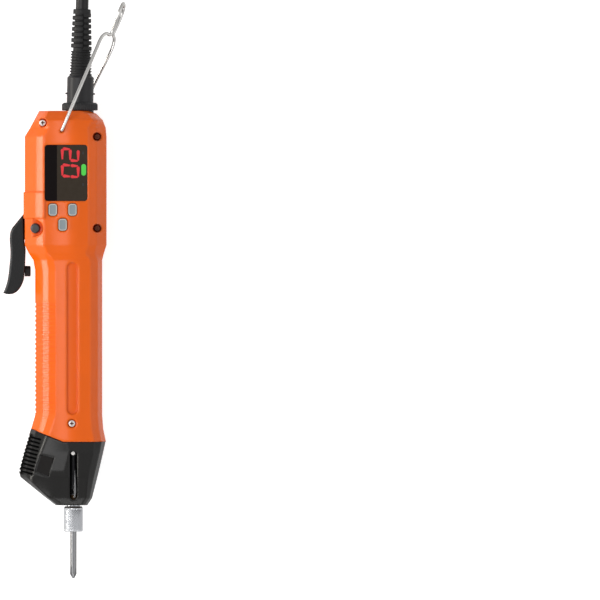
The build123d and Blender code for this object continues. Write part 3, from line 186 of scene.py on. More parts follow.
GRAIN = moulded_grain_group()
TURNED = turned_metal_group()


# Broad forms that bend the normals of the casing and the nose

CROWN_HALF = 6.5 * MM
CROWN_RISE = 1.1 * MM
FINE_RIB_PITCH = 1.4 * MM
FINE_RIB_X = (-18.4 * MM, -14.7 * MM)
FINE_RIB_DEPTH = 0.06 * MM
RIBBED_X = -10.0 * MM
RIBBED_Y = (68.0 * MM, 138.5 * MM)
# A point on the ridge in X and Y, and the direction away from it on the vents' side
RIDGE = (-16.2 * MM, 58.6 * MM)
RIDGE_NORMAL = (-0.946, 0.323)
RIDGE_SOFT = 2.2 * MM
RIDGE_SLOPE = 1.2


def ribbed_area(tree):
    """A mask that is 1 on the ribbed left side of the grip."""
    x, y = own_xy(tree)
    return product(
        tree,
        math_node(tree, "LESS_THAN", x, RIBBED_X),
        math_node(tree, "GREATER_THAN", y, RIBBED_Y[0]),
        math_node(tree, "LESS_THAN", y, RIBBED_Y[1]),
    )


def casing_form(tree):
    """The casing's slight crown across its front and the fine ribs on its grip, as a height."""
    x, y = own_xy(tree)
    share = product(tree, x, x, -0.5 / (CROWN_HALF * CROWN_HALF))
    crown = product(tree, math_node(tree, "EXPONENT", share), CROWN_RISE)
    wave = math_node(tree, "SINE", product(tree, y, 2 * math.pi / FINE_RIB_PITCH))
    inside = product(
        tree,
        ribbed_area(tree),
        math_node(tree, "GREATER_THAN", x, FINE_RIB_X[0]),
        math_node(tree, "LESS_THAN", x, FINE_RIB_X[1]),
    )
    return math_node(tree, "ADD", crown, product(tree, wave, inside, FINE_RIB_DEPTH))


def nose_form(tree):
    """The nose's side with the vents falls away from a soft ridge beside them, as a height."""
    off = [
        product(tree, math_node(tree, "SUBTRACT", place, start), share)
        for place, start, share in zip(own_xy(tree), RIDGE, RIDGE_NORMAL)
    ]
    off = math_node(tree, "ADD", *off)
    square = math_node(tree, "ADD", product(tree, off, off), RIDGE_SOFT * RIDGE_SOFT)
    far = math_node(tree, "ADD", off, math_node(tree, "SQRT", square))
    return product(tree, far, -0.5 * RIDGE_SLOPE)


# Materials

BEVEL_SAMPLES = 8
CRISP_SHARE = 0.9
MOTTLE_ENDS = (0.3, 0.7)
GRAIN_DEPTH = 0.05 * MM
RING_DEPTH = 0.03 * MM


def principled(name, colour, metallic=0.0, specular=0.5):
    """A material with a Principled shader, and that shader."""
    made = bpy.data.materials.new(name)
    made.use_nodes = True
    shader = made.node_tree.nodes["Principled BSDF"]
    shader.inputs["Base Color"].default_value = (*colour, 1.0)
    shader.inputs["Metallic"].default_value = metallic
    shader.inputs["Specular IOR Level"].default_value = specular
    made.diffuse_color = (*colour, 1.0)
    return made, shader


def round_edges(tree, radius, crisp):
    """A normal that rounds sharp edges to a radius, and hardly rounds them where a crisp mask is 1."""
    bevel = tree.nodes.new("ShaderNodeBevel")
    bevel.samples = BEVEL_SAMPLES
    bevel.inputs["Radius"].default_value = radius
    if crisp:
        kept = math_node(tree, "SUBTRACT", 1.0, product(tree, crisp(tree), CRISP_SHARE))
        tree.links.new(product(tree, kept, radius), bevel.inputs["Radius"])
    return bevel.outputs["Normal"]


def bumped(tree, shader, height, strength, depth, edge, form=None, crisp=None):
    """Feeds a bump, over a broad form and rounded edges, to the shader's normal."""
    bump = tree.nodes.new("ShaderNodeBump")
    bump.inputs["Strength"].default_value = strength
    bump.inputs["Distance"].default_value = depth
    tree.links.new(height, bump.inputs["Height"])
    under = round_edges(tree, edge, crisp) if edge else None
    if form:
        broad = tree.nodes.new("ShaderNodeBump")
        broad.inputs["Distance"].default_value = 1.0
        tree.links.new(form(tree), broad.inputs["Height"])
        if under:
            tree.links.new(under, broad.inputs["Normal"])
        under = broad.outputs["Normal"]
    if under:
        tree.links.new(under, bump.inputs["Normal"])
    tree.links.new(bump.outputs["Normal"], shader.inputs["Normal"])


def moulded(
    name, colour, rough, edge=0.0, grain=GRAIN_SCALE, bump=0.15, mottle=0.04, spread=0.08, specular=0.5,
    form=None, crisp=None,
):
    """Moulded plastic or rubber: fine grain, slow mottling and rounded edges."""
    made, shader = principled(name, colour, specular=specular)
    tree = made.node_tree
    group = use_group(tree, GRAIN, Scale=grain, Roughness=rough, Spread=spread)
    tints = [[min(1.0, part * (1.0 + change)) for part in colour] for change in (-mottle, mottle)]
    tint = colour_ramp(tree, group.outputs["Mottle"], tints, MOTTLE_ENDS)
    tree.links.new(tint, shader.inputs["Base Color"])
    tree.links.new(group.outputs["Roughness"], shader.inputs["Roughness"])
    bumped(tree, shader, group.outputs["Height"], bump, GRAIN_DEPTH, edge, form, crisp)
    return made


def machined(name, colour, rough, edge=0.1 * MM, bump=0.1):
    """Turned or drawn metal with fine rings about the tool's axis."""
    made, shader = principled(name, colour, metallic=1.0)
    tree = made.node_tree
    group = use_group(tree, TURNED, Roughness=rough)
    tree.links.new(group.outputs["Roughness"], shader.inputs["Roughness"])
    bumped(tree, shader, group.outputs["Height"], bump, RING_DEPTH, edge)
    return made


def lit(name, colour):
    """A lamp or a digit's bar that glows softly."""
    made, shader = principled(name, colour)
    shader.inputs["Roughness"].default_value = 0.4
    shader.inputs["Emission Color"].default_value = (*colour, 1.0)
    shader.inputs["Emission Strength"].default_value = 0.2
    return made


def window_material():
    """Smoked window: black along its left side and a warm grey where the digits show."""
    strip_x = -9.6 * MM
    strip = (0.004, 0.002, 0.002)
    tints = ((0.036, 0.026, 0.018), (0.046, 0.036, 0.026))
    cloud_scale = 300.0
    made, shader = principled("smoked_window", (0.04, 0.03, 0.025), specular=0.09)
    tree = made.node_tree
    cloud = noise(tree, own_place(tree), cloud_scale, detail=4.0)
    mix = tree.nodes.new("ShaderNodeMix")
    mix.data_type = "RGBA"
    mix.inputs["A"].default_value = (*strip, 1.0)
    tree.links.new(math_node(tree, "GREATER_THAN", own_xy(tree)[0], strip_x), mix.inputs["Factor"])
    tree.links.new(colour_ramp(tree, cloud, tints), mix.inputs["B"])
    tree.links.new(mix.outputs["Result"], shader.inputs["Base Color"])
    shader.inputs["Roughness"].default_value = 0.16
    return made


ORANGE = moulded(
    "orange_plastic", (0.87, 0.128, 0.003), rough=0.22, edge=2.0 * MM, bump=0.1, mottle=0.02, spread=0.03,
    specular=0.28, form=casing_form, crisp=ribbed_area,
)
NOSE_BLACK = moulded(
    "nose_black", (0.005, 0.0045, 0.004), rough=0.26, edge=1.8 * MM, specular=0.27, form=nose_form
)
LEVER_BLACK = moulded(
    "lever_black", (0.003, 0.003, 0.0035), rough=0.16, edge=1.6 * MM, bump=0.03, specular=0.4
)
PIN_BLACK = moulded("pin_black", (0.004, 0.004, 0.0045), rough=0.3, bump=0.0, specular=0.8)
RUBBER = moulded(
    "rubber_black", (0.009, 0.009, 0.0095), rough=0.5, edge=0.3 * MM, bump=0.3, specular=0.25
)
SHEATH = moulded("cord_sheath", (0.008, 0.007, 0.0075), rough=0.32, specular=0.25)
PLUG = moulded("plug_black", (0.016, 0.016, 0.0175), rough=0.4, edge=0.5 * MM, bump=0.1, specular=0.25)
KEY_GREY = moulded("key_grey", (0.27, 0.32, 0.345), rough=0.5, edge=0.3 * MM, specular=0.2)
# Pale grey of the key rims: a painted highlight for the light on the keys' edges
PAINTED_HIGHLIGHT_RIM = moulded("key_rim_painted_highlight", (0.62, 0.60, 0.56), rough=0.45, specular=0.3)
BOARD = moulded("board_green", (0.02, 0.16, 0.06), rough=0.35)
MODULE = moulded("module_black", (0.03, 0.03, 0.032), rough=0.4, edge=0.1 * MM)
FILTER = moulded("filter_black", (0.003, 0.003, 0.003), rough=0.8, grain=2500.0, bump=0.6, specular=0.1)
PLATE = moulded("plate_black", (0.006, 0.005, 0.0045), rough=0.5, bump=0.05, specular=0.12)
MARK = moulded("window_mark", (0.004, 0.004, 0.004), rough=0.3)
WINDOW = window_material()
BRIGHT = machined("bright_steel", (0.50, 0.51, 0.53), rough=0.32, bump=0.05)
SCREW = machined("screw_steel", (0.60, 0.58, 0.56), rough=0.32, bump=0.0)
CHROME = machined("chrome", (0.19, 0.19, 0.195), rough=0.2, bump=0.04)
WIRE = machined("bail_wire", (0.50, 0.49, 0.475), rough=0.18, edge=0.0, bump=0.0)
# Dark steel of the dark screws, also used as the painted shade in the bright screws' cross recesses
DARK = machined("dark_steel", (0.10, 0.035, 0.022), rough=0.35, bump=0.0)
INNER = machined("dark_oxide", (0.028, 0.028, 0.03), rough=0.3, bump=0.05)
SATIN = machined("satin_steel", (0.40, 0.41, 0.43), rough=0.3)
# Bronze darkened to near black: painted shade, as the bushes show deep in the nose's slot
BRONZE_PAINTED_SHADE = machined("bronze", (0.045, 0.028, 0.015), rough=0.4)
COPPER = machined("copper", (0.72, 0.32, 0.16), rough=0.35)
RED = lit("digit_red", (0.62, 0.010, 0.018))
GREEN = lit("lamp_green", (0.05, 0.52, 0.045))

# Every solid that isn't named here is satin steel
FINISHES = {
    ORANGE: ["front_housing", "rear_housing"],
    NOSE_BLACK: ["nose_cover"],
    LEVER_BLACK: ["start_lever", "far_plug_body", "reversing_knob"],
    PIN_BLACK: ["lever_pin"],
    RUBBER: ["lever_bumper", "strain_relief", "far_strain_relief"],
    SHEATH: ["cord", "cord_coil"],
    WINDOW: ["display_window"],
    KEY_GREY: ["key_left", "key_right", "key_lower"],
    BOARD: ["display_board", "control_board"],
    MODULE: ["display_module", "tact_switches", "board_parts", "reversing_switch", "motor_cap"],
    BRIGHT: ["board_screws", "bit_sleeve", "lever_spring", "far_plug_shell"],
    SCREW: ["silver_screws", "indicator_pin"],
    CHROME: ["bit"],
    WIRE: ["suspension_bail"],
    DARK: ["dark_screws"],
    INNER: ["torque_nut", "torque_seat", "clutch_spring", "clutch_case"],
    PLUG: ["cord_socket", "coupling_ring", "plug_body"],
    BRONZE_PAINTED_SHADE: ["spindle_bush", "carrier_bush"],
    COPPER: ["windings"],
}
finish_of = {name: finish for finish, names in FINISHES.items() for name in names}
for name, node in nodes.items():
    node.data.materials.clear()
    node.data.materials.append(finish_of.get(name, SATIN))


# Ways to make pieces

def add_object(name, data):
    """An object in the scene, at the origin."""
    made = bpy.data.objects.new(name, data)
    bpy.context.scene.collection.objects.link(made)
    return made


def finish_piece(name, shape, material, body):
    """Turns a bmesh into a finished piece that rides on a body."""
    mesh = bpy.data.meshes.new(name)
    bmesh.ops.recalc_face_normals(shape, faces=shape.faces)
    shape.to_mesh(mesh)
    shape.free()
    mesh.materials.append(material)
    piece = add_object(name, mesh)
    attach(piece, body)
    return piece


def raise_faces(shape, faces, height):
    """Extrudes flat faces upwards into solids, and gives the raised vertices."""
    grown = bmesh.ops.extrude_face_region(shape, geom=faces)
    raised = [item for item in grown["geom"] if isinstance(item, bmesh.types.BMVert)]
    bmesh.ops.translate(shape, verts=raised, vec=(0, 0, height))
    return raised


def rounded_plate(shape, centre, half, corner, low, segments=32):
    """A flat face with rounded corners, in a list."""
    made = bmesh.ops.create_circle(shape, cap_ends=True, segments=segments, radius=corner)
    for vert in made["verts"]:
        vert.co.x += math.copysign(half[0] - corner, vert.co.x)
        vert.co.y += math.copysign(half[1] - corner, vert.co.y)
    bmesh.ops.translate(shape, verts=made["verts"], vec=(*centre, low))
    return list(made["verts"][0].link_faces)


def prism(shape, corners, low, high):
    """An upright block between two heights, from its corners in millimetres, seen from above."""
    verts = [shape.verts.new((x * MM, y * MM, low)) for x, y in corners]
    face = shape.faces.new(verts)
    return verts, raise_faces(shape, [face], high - low)


def smooth_tube(name, route, radius, steps, sides):
    """A round wire or cord as a smooth curve along a route."""
    curve = bpy.data.curves.new(name, "CURVE")
    curve.dimensions = "3D"
    spline = curve.splines.new("NURBS")
    spline.points.add(len(route) - 1)
    for point, place in zip(spline.points, route):
        point.co = (*place, 1.0)
    spline.order_u = 3
    spline.use_endpoint_u = True
    spline.resolution_u = steps
    curve.bevel_depth = radius
    curve.bevel_resolution = sides
    curve.use_fill_caps = True
    return curve


# Digits, lamp and marks, printed thinly on the window

PRINT_THICK = 0.04 * MM
PRINT_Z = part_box("display_window")[1].z + 0.01 * MM

# Each bar of a digit runs between two corners, as shares across it and up it
BARS = {
    "top": ((0, 1), (1, 1)), "middle": ((0, 0.5), (1, 0.5)), "bottom": ((0, 0), (1, 0)),
    "upper_left": ((0, 0.5), (0, 1)), "upper_right": ((1, 0.5), (1, 1)),
    "lower_left": ((0, 0), (0, 0.5)), "lower_right": ((1, 0), (1, 0.5)),
}
DIGIT_BARS = {
    0: ("top", "bottom", "upper_left", "upper_right", "lower_left", "lower_right"),
    2: ("top", "middle", "bottom", "upper_right", "lower_left"),
}


def glowing_bar(shape, start, end, width):
    """One bar with pointed ends, between two points of the window."""
    run = end - start
    middle = (start + end) / 2
    faces = rounded_plate(shape, (0, 0), (run.length / 2, width / 2), width / 2, 0, segments=6)
    verts = list(faces[0].verts)
    bmesh.ops.rotate(shape, verts=verts, matrix=Matrix.Rotation(math.atan2(run.y, run.x), 3, "Z"))
    bmesh.ops.translate(shape, verts=verts, vec=(middle.x, middle.y, PRINT_Z))
    raise_faces(shape, faces, PRINT_THICK)


def digit(name, value, start_y):
    """A seven-bar digit read along +Y, with its top towards -X and a slight slant."""
    width, gap = 1.9 * MM, 0.08 * MM
    wide, tall, slant = 6.6 * MM, 9.5 * MM, 0.8 * MM
    foot_x = 3.1 * MM
    shape = bmesh.new()
    for bar in DIGIT_BARS[value]:
        start, end = [
            Vector((foot_x - up * tall, start_y + across * wide + up * slant, 0)) for across, up in BARS[bar]
        ]
        inset = (end - start).normalized() * gap
        glowing_bar(shape, start + inset, end - inset, width)
    finish_piece(name, shape, RED, "tool")


def window_spot(name, centre, half, material):
    """A flat rounded bar on the window, from its centre and half sizes in millimetres."""
    shape = bmesh.new()
    centre = [value * MM for value in centre]
    half = [value * MM for value in half]
    raise_faces(shape, rounded_plate(shape, centre, half, half[0], PRINT_Z), PRINT_THICK)
    finish_piece(name, shape, material, "tool")


MARK_HALF = (0.45, 0.9)
digit("digit_first", 0, start_y=212.6 * MM)
digit("digit_second", 2, start_y=222.3 * MM)
window_spot("ready_lamp", (6.4, 217.0), (1.45, 3.45), GREEN)
window_spot("window_mark_upper", (6.0, 227.1), MARK_HALF, MARK)
window_spot("window_mark_lower", (6.0, 208.2), MARK_HALF, MARK)


# Suspension bail: one bent wire from its front hole round the eye to its rear hole, in millimetres

BAIL_ROUTE = [
    (-6.8, 240.3, 16.0), (-6.8, 240.3, 21.3), (-6.2, 241.7, 21.9), (-2.0, 251.5, 21.8), (2.9, 263.3, 21.0),
    (8.0, 275.4, 16.2), (12.0, 285.2, 11.0), (14.4, 290.8, 8.0), (15.8, 294.4, 6.4), (17.6, 297.7, 5.0),
    (20.2, 299.2, 3.8), (21.8, 297.6, 2.8), (23.2, 299.4, 2.2), (24.8, 303.6, 3.2), (26.6, 309.0, 4.8),
    (28.2, 313.6, 4.8), (29.5, 316.4, 2.6), (30.2, 317.2, 0.0), (30.6, 315.6, -2.6), (29.7, 311.8, -4.6),
    (28.0, 307.4, -4.6), (26.0, 303.0, -3.2), (24.4, 299.6, -2.0), (23.6, 298.0, -2.2), (24.4, 297.2, -2.8),
    (24.6, 294.6, -3.6), (23.4, 290.2, -6.4), (19.6, 282.4, -11.0), (13.0, 270.0, -18.2), (7.8, 258.6, -21.4),
    (1.5, 250.8, -21.8), (-5.6, 241.8, -21.9), (-6.8, 240.3, -21.3), (-6.8, 240.3, -16.0),
]
WIRE_R = 1.0 * MM


def bail():
    """The bail's wire as one smooth curve, made a mesh."""
    route = [[value * MM for value in place] for place in BAIL_ROUTE]
    path = bpy.data.objects.new("bail_path", smooth_tube("bail_path", route, WIRE_R, steps=8, sides=6))
    mesh = bpy.data.meshes.new_from_object(path)
    bpy.data.objects.remove(path)
    mesh.name = "bail"
    mesh.materials.clear()
    mesh.materials.append(WIRE)
    for polygon in mesh.polygons:
        polygon.use_smooth = True
    piece = add_object("bail", mesh)
    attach(piece, "bail")
    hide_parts("suspension_bail")


bail()


# Turned pieces with teeth, bands and ribs

# The cord's plug leans a little; its foot is given in millimetres
PLUG_FOOT = (3.9, 252.4)
PLUG_TILT = math.radians(1.25)


def spun(shape, profile, steps):
    """Spins a closed outline of (radius, place along Y) about Y into a ring."""
    verts = [shape.verts.new((radius, along, 0)) for radius, along in profile]
    edges = [shape.edges.new(pair) for pair in zip(verts, verts[1:] + verts[:1])]
    bmesh.ops.spin(
        shape, geom=verts + edges, cent=(0, 0, 0), axis=(0, 1, 0), angle=2 * math.pi, steps=steps,
        use_merge=True,
    )
    bmesh.ops.remove_doubles(shape, verts=shape.verts, dist=1e-7)


def band(shape, profile, middle, spread, steps):
    """Spins an outline through part of a turn, closed at both ends, about an angle from X towards -Z."""
    verts = [shape.verts.new((radius, along, 0)) for radius, along in profile]
    face = shape.faces.new(verts)
    turn = Matrix.Rotation(middle - spread / 2, 3, "Y")
    bmesh.ops.rotate(shape, verts=verts, matrix=turn)
    bmesh.ops.spin(
        shape, geom=[face, *face.edges, *verts], cent=(0, 0, 0), axis=(0, 1, 0), angle=spread, steps=steps
    )


def off_axis(place):
    """How far a place is from the Y axis."""
    return math.hypot(place.x, place.z)


def knurl(shape, steps, depth, is_worked, row=0.0):
    """Presses every other line of vertices inwards, in diamonds where a row has a height."""
    for vert in shape.verts:
        if not is_worked(vert.co):
            continue
        column = round(math.atan2(vert.co.z, vert.co.x) / (2 * math.pi) * steps)
        level = round(vert.co.y / row) if row else 0
        if (column + level) % 2:
            radius = off_axis(vert.co)
            share = (radius - depth) / radius
            vert.co.x *= share
            vert.co.z *= share


def sleeve():
    """The bit sleeve with a fine diamond knurl and a chamfered top."""
    bore, outer, top = 4.1 * MM, 5.75 * MM, 15.2 * MM
    edge = 0.5 * MM
    row, rows = 0.7 * MM, 20
    steps, pressed = 48, 0.34 * MM
    profile = [(bore, 0.0), (outer - edge, 0.0), (outer, edge)]
    profile += [(outer, number * row) for number in range(1, rows + 1)]
    profile += [(outer - 0.2 * MM, 14.5 * MM), (outer - 0.7 * MM, top), (bore, top)]
    shape = bmesh.new()
    spun(shape, profile, steps)

    def is_worked(place):
        return off_axis(place) > outer - 0.01 * MM and 1.5 * row < place.y < (rows - 0.5) * row

    knurl(shape, steps, pressed, is_worked, row)
    piece = finish_piece("knurled_sleeve", shape, BRIGHT, "bit_sleeve")
    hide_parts("bit_sleeve")


def boot():
    """The strain relief: close ribs at its base, then half rings set left and right in turn."""
    bore, base_r, top_r, length = 0.6 * MM, 6.7 * MM, 5.25 * MM, 39.9 * MM
    core, edge = 1.25 * MM, 0.3 * MM
    foot_end, collar = 0.9 * MM, 37.0 * MM
    first, rib, ribs, groove = 1.2 * MM, 1.7 * MM, 8, 0.7 * MM
    groove_end, crest_start, crest_end = 0.45 * rib, 0.65 * rib, 0.95 * rib

    def outer(along):
        return base_r + (top_r - base_r) * along / length

    profile = [(bore, 0.0), (base_r, 0.0), (base_r, foot_end)]
    for number in range(ribs):
        low = first + number * rib
        profile += [
            (outer(low) - groove, low), (outer(low) - groove, low + groove_end),
            (outer(low), low + crest_start), (outer(low), low + crest_end),
        ]
    start = first + ribs * rib
    profile += [(outer(start) - core, start), (outer(collar) - core, collar), (outer(collar), collar)]
    profile += [(top_r, length - edge), (top_r - edge, length), (bore, length)]
    shape = bmesh.new()
    spun(shape, profile, 48)

    half_rings, pitch, tall, round_r = 13, 3.33 * MM, 2.6 * MM, 0.45 * MM
    gap, proud, root = 0.2 * MM, 0.15 * MM, 0.4 * MM
    spread, turned = math.radians(176), 0.2
    for number in range(half_rings):
        low = start + gap + number * pitch / 2
        high = low + tall
        radius = outer(low) + proud
        inner = radius - core - root
        side, end = radius - 0.25 * round_r, 0.35 * round_r
        outline = [
            (inner, low), (radius - round_r, low), (side, low + end), (radius, low + round_r),
            (radius, high - round_r), (side, high - end), (radius - round_r, high), (inner, high),
        ]
        band(shape, outline, math.pi * (number % 2) + turned, spread, 20)

    up_the_plug = 21.2 * MM
    foot = Matrix.Translation((PLUG_FOOT[0] * MM, PLUG_FOOT[1] * MM, 0))
    lean = Matrix.Rotation(-PLUG_TILT, 4, "Z")
    along = Matrix.Translation((0, up_the_plug, 0))
    bmesh.ops.transform(shape, verts=shape.verts, matrix=foot @ lean @ along)
    piece = finish_piece("ribbed_boot", shape, RUBBER, "tool")
    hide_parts("strain_relief")


def ring():
    """The coupling ring with a toothed rim, a chamfered top and a stepped bore."""
    bore, mouth, rim = 8.34 * MM, 8.45 * MM, 10.75 * MM
    low, high = 252.7 * MM, 257.4 * MM
    edge, chamfer, step = 0.4 * MM, 1.1 * MM, 0.75 * MM
    steps, tooth = 108, 0.28 * MM
    profile = [
        (bore, low), (rim - edge, low), (rim, low + edge), (rim, high - chamfer),
        (rim - chamfer, high), (mouth, high), (mouth, high - step), (bore, high - step),
    ]
    shape = bmesh.new()
    spun(shape, profile, steps)
    knurl(shape, steps, tooth, lambda place: off_axis(place) > rim - 0.05 * MM)
    bmesh.ops.translate(shape, verts=shape.verts, vec=(PLUG_FOOT[0] * MM, 0, 0))
    piece = finish_piece("toothed_ring", shape, PLUG, "coupling_ring")
    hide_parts("coupling_ring")


sleeve()
boot()
ring()


# Small pieces on the casing and the nose; corners and screw places are in millimetres

VENT_PAD = [
    (-31.7, 35.2), (-31.7, 38.2), (-29.4, 47.0), (-26.7, 56.0), (-25.8, 58.8), (-19.0, 59.0), (-19.0, 33.6),
    (-30.5, 33.6),
]
# Outline of the bright leaf in the nose's slot: a painted reflection streak
LEAF = [(0.5, 20.6), (1.2, 20.6), (1.7, 24.0), (1.5, 31.0), (1.0, 38.0), (0.8, 31.0), (0.6, 24.0)]
NOSE_PLATE = [(-19.15, 45.75), (-11.95, 43.95), (-15.2, 33.35), (-22.35, 36.35)]
# Each screw's X and Y, and how far its head lies below the highest one
CROSSED_SCREWS = [(-18.2, 245.2, 2.6), (-0.7, 65.0, 0.0)]


def key_rim_painted_highlight(name):
    """A thin pale raised rim round the top of a key: a painted highlight, standing in for the light caught on
    the key's edge.
    """
    low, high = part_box(name)
    middle = (low + high) / 2
    half, corner = (2.42 * MM, 3.47 * MM), 1.66 * MM
    sunk, wide, tall = 0.25 * MM, 0.5 * MM, 0.37 * MM
    shape = bmesh.new()
    top = rounded_plate(shape, (middle.x, middle.y), half, corner, high.z - sunk)
    bmesh.ops.inset_region(shape, faces=top, thickness=wide, use_even_offset=True, use_boundary=True)
    bmesh.ops.delete(shape, geom=top, context="FACES")
    raise_faces(shape, list(shape.faces), tall)
    finish_piece(name + "_rim", shape, PAINTED_HIGHLIGHT_RIM, name)


def vent_filter():
    """A dark filter pad behind the vent slots of the nose."""
    half_deep = 9 * MM
    shape = bmesh.new()
    prism(shape, VENT_PAD, -half_deep, half_deep)
    finish_piece("vent_filter", shape, FILTER, "tool")


def screw_crosses_painted_shade():
    """Dark crosses laid in the cross recesses of the two bright screws: painted shade in the recesses."""
    arm, width = 1.2, 0.36
    sunk, proud = 0.5 * MM, 0.02 * MM
    shape = bmesh.new()
    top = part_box("silver_screws")[1].z
    for x, y, drop in CROSSED_SCREWS:
        head = top - drop * MM
        for half_x, half_y in ((arm, width), (width, arm)):
            corners = [
                (x - half_x, y - half_y), (x + half_x, y - half_y),
                (x + half_x, y + half_y), (x - half_x, y + half_y),
            ]
            prism(shape, corners, head - sunk, head + proud)
    finish_piece("screw_crosses_painted_shade", shape, DARK, "tool")


def slot_painted_reflection_leaf():
    """A slim bright leaf that stands in the nose's slot, below the pin's travel, and narrows upwards: a
    painted reflection, put where the slot shows only a bright streak of light.
    """
    low, high = 15.0 * MM, 15.4 * MM
    shape = bmesh.new()
    prism(shape, LEAF, low, high)
    finish_piece("slot_painted_reflection_leaf", shape, CHROME, "tool")


def nose_plate():
    """A blank plate laid in the shallow recess of the nose."""
    under, over = 0.03 * MM, 0.33 * MM
    above = 40 * MM
    ground = bmesh.new()
    ground.from_mesh(nodes["nose_cover"].data)
    tree = BVHTree.FromBMesh(ground)
    shape = bmesh.new()
    low, high = prism(shape, NOSE_PLATE, 0.0, 1 * MM)
    for verts, lift in ((low, under), (high, over)):
        for vert in verts:
            hit = tree.ray_cast(Vector((vert.co.x, vert.co.y, above)), Vector((0, 0, -1)))[0]
            vert.co.z = hit.z + lift
    ground.free()
    finish_piece("nose_plate", shape, PLATE, "tool")


for key_name in ("key_left", "key_right", "key_lower"):
    key_rim_painted_highlight(key_name)
vent_filter()
screw_crosses_painted_shade()
slot_painted_reflection_leaf()
nose_plate()


# Cord: out of the boot, down to the surface, then wound into a coil

CORD_R = 3.85 * MM
FLOOR_Z = -22.8 * MM
LAY_Z = FLOOR_Z + CORD_R
# How far the boot's end lies from the plug's foot, in millimetres
BOOT_END = 61.1
COIL_X = -22.5 * MM
COIL_Y = 412.0 * MM
COIL_R = 49.7 * MM


def coil_points():
    """Three turns inwards on the surface, two back out in their grooves and half a turn on top."""
    layer = CORD_R * math.sqrt(3)
    turns = [(COIL_R, 0), (COIL_R - 2 * CORD_R, 0), (COIL_R - 4 * CORD_R, 0)]
    turns += [(COIL_R - 3 * CORD_R, layer), (COIL_R - CORD_R, layer), (COIL_R - 2 * CORD_R, 2 * layer)]
    per_turn = 20
    change = 5
    climb = 1.6
    outwards = 1.0 / math.cos(math.pi / per_turn)
    points = []
    for number, (radius, height) in enumerate(turns):
        last = number == len(turns) - 1
        next_radius, next_height = turns[number] if last else turns[number + 1]
        for step in range(per_turn // 2 if last else per_turn):
            share = max(0.0, (step - (per_turn - change)) / change)
            now = radius + (next_radius - radius) * share
            lift = height + (next_height - height) * min(1.0, climb * share)
            angle = (step / per_turn) * 2 * math.pi
            points.append((
                COIL_X + now * outwards * math.cos(angle),
                COIL_Y + now * outwards * math.sin(angle),
                LAY_Z + lift,
            ))
    return points


def lead():
    """The whole cord as one smooth curve."""
    boot_x = (PLUG_FOOT[0] + BOOT_END * math.sin(PLUG_TILT)) * MM
    boot_y = (PLUG_FOOT[1] + BOOT_END * math.cos(PLUG_TILT)) * MM
    straight = 17.0 * MM
    route = [
        (boot_x, boot_y, 0.0),
        (boot_x + straight * math.sin(PLUG_TILT), boot_y + straight * math.cos(PLUG_TILT), 0.0),
        (7.0 * MM, 349.0 * MM, -4.5 * MM),
        (13.0 * MM, 367.0 * MM, -11.0 * MM),
        (21.5 * MM, 383.0 * MM, -16.5 * MM),
        (26.5 * MM, 398.0 * MM, LAY_Z),
        *coil_points(),
        (-64.8 * MM, 410.0 * MM, -3.0 * MM),
        (-64.5 * MM, 398.0 * MM, -2.2 * MM),
    ]
    curve = smooth_tube("lead", route, CORD_R, steps=6, sides=5)
    curve.materials.append(SHEATH)
    piece = add_object("lead", curve)
    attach(piece, "tool")
    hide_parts("cord", "cord_coil")


lead()


# Floor, light and camera

FLOOR_HALF = 6.0
FLOOR_GREY = 0.8
FLOOR_MIRRORED = 0.3
FLOOR_SEEN = 0.7
SKY = 0.42
SKY_MIRRORED = 0.38
SKY_SEEN = 0.58
MIDDLE = (0.0, 0.14, 0.0)
CAMERA_OVER = (0.136, 0.139)
FIELD = 0.36
DISTANCE = 14.0
SENSOR = 36.0


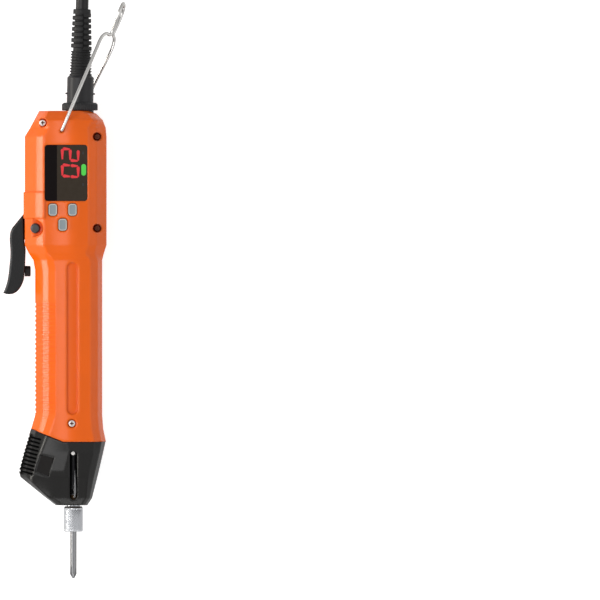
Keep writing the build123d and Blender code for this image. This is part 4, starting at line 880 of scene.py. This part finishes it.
def floor():
    """A plain pale floor that keeps the tool's shadow and looks white to the camera."""
    shape = bmesh.new()
    bmesh.ops.create_grid(shape, x_segments=1, y_segments=1, size=FLOOR_HALF)
    bmesh.ops.translate(shape, verts=shape.verts, vec=(0, 0, FLOOR_Z))
    mesh = bpy.data.meshes.new("floor")
    shape.to_mesh(mesh)
    shape.free()
    made = bpy.data.materials.new("floor_white")
    made.use_nodes = True
    tree = made.node_tree
    tree.nodes.clear()
    out = tree.nodes.new("ShaderNodeOutputMaterial")
    pale = tree.nodes.new("ShaderNodeBsdfDiffuse")
    pale.inputs["Color"].default_value = (FLOOR_GREY, FLOOR_GREY, FLOOR_GREY, 1.0)
    glow = tree.nodes.new("ShaderNodeEmission")
    tree.links.new(ray_strength(tree, FLOOR_MIRRORED, FLOOR_SEEN), glow.inputs["Strength"])
    both = tree.nodes.new("ShaderNodeAddShader")
    tree.links.new(pale.outputs[0], both.inputs[0])
    tree.links.new(glow.outputs[0], both.inputs[1])
    tree.links.new(both.outputs[0], out.inputs["Surface"])
    mesh.materials.append(made)
    ground = add_object("floor", mesh)


def surroundings():
    """An even pale sky, white where the camera sees it."""
    world = bpy.data.worlds.new("studio")
    bpy.context.scene.world = world
    world.use_nodes = True
    tree = world.node_tree
    sky = tree.nodes["Background"]
    sky.inputs["Color"].default_value = (1.0, 1.0, 1.0, 1.0)
    strength = math_node(tree, "ADD", ray_strength(tree, SKY_MIRRORED, SKY_SEEN), SKY)
    tree.links.new(strength, sky.inputs["Strength"])


def softbox(name, place, size, power, colour=(1.0, 1.0, 1.0)):
    """A rectangular area lamp that faces the middle of the tool."""
    lamp = bpy.data.lights.new(name, "AREA")
    lamp.shape = "RECTANGLE"
    lamp.size, lamp.size_y = size
    lamp.energy = power
    lamp.color = colour
    holder = add_object(name, lamp)
    holder.location = place
    holder.rotation_euler = (Vector(MIDDLE) - Vector(place)).to_track_quat("-Z", "Y").to_euler()


def view():
    """A camera far above the tool, so that its front shows almost without perspective."""
    camera = bpy.data.cameras.new("camera")
    camera.sensor_width = SENSOR
    camera.lens = SENSOR * DISTANCE / FIELD
    camera.clip_start = 0.1
    camera.clip_end = 60.0
    eye = add_object("camera", camera)
    eye.location = (*CAMERA_OVER, DISTANCE)
    bpy.context.scene.camera = eye
    bpy.context.scene.view_settings.view_transform = "Standard"


floor()
surroundings()
softbox("strip", place=(-2.0, 0.14, 0.29), size=(2.0, 0.3), power=29.0, colour=(1.0, 0.96, 0.88))
softbox("top", place=(-1.1, 0.4, 1.9), size=(0.8, 1.8), power=17.0)
softbox("right", place=(1.4, 0.1, 1.1), size=(1.2, 1.6), power=5.0)
softbox("foot", place=(-0.5, -1.6, 1.1), size=(1.6, 0.2), power=7.0)
view()
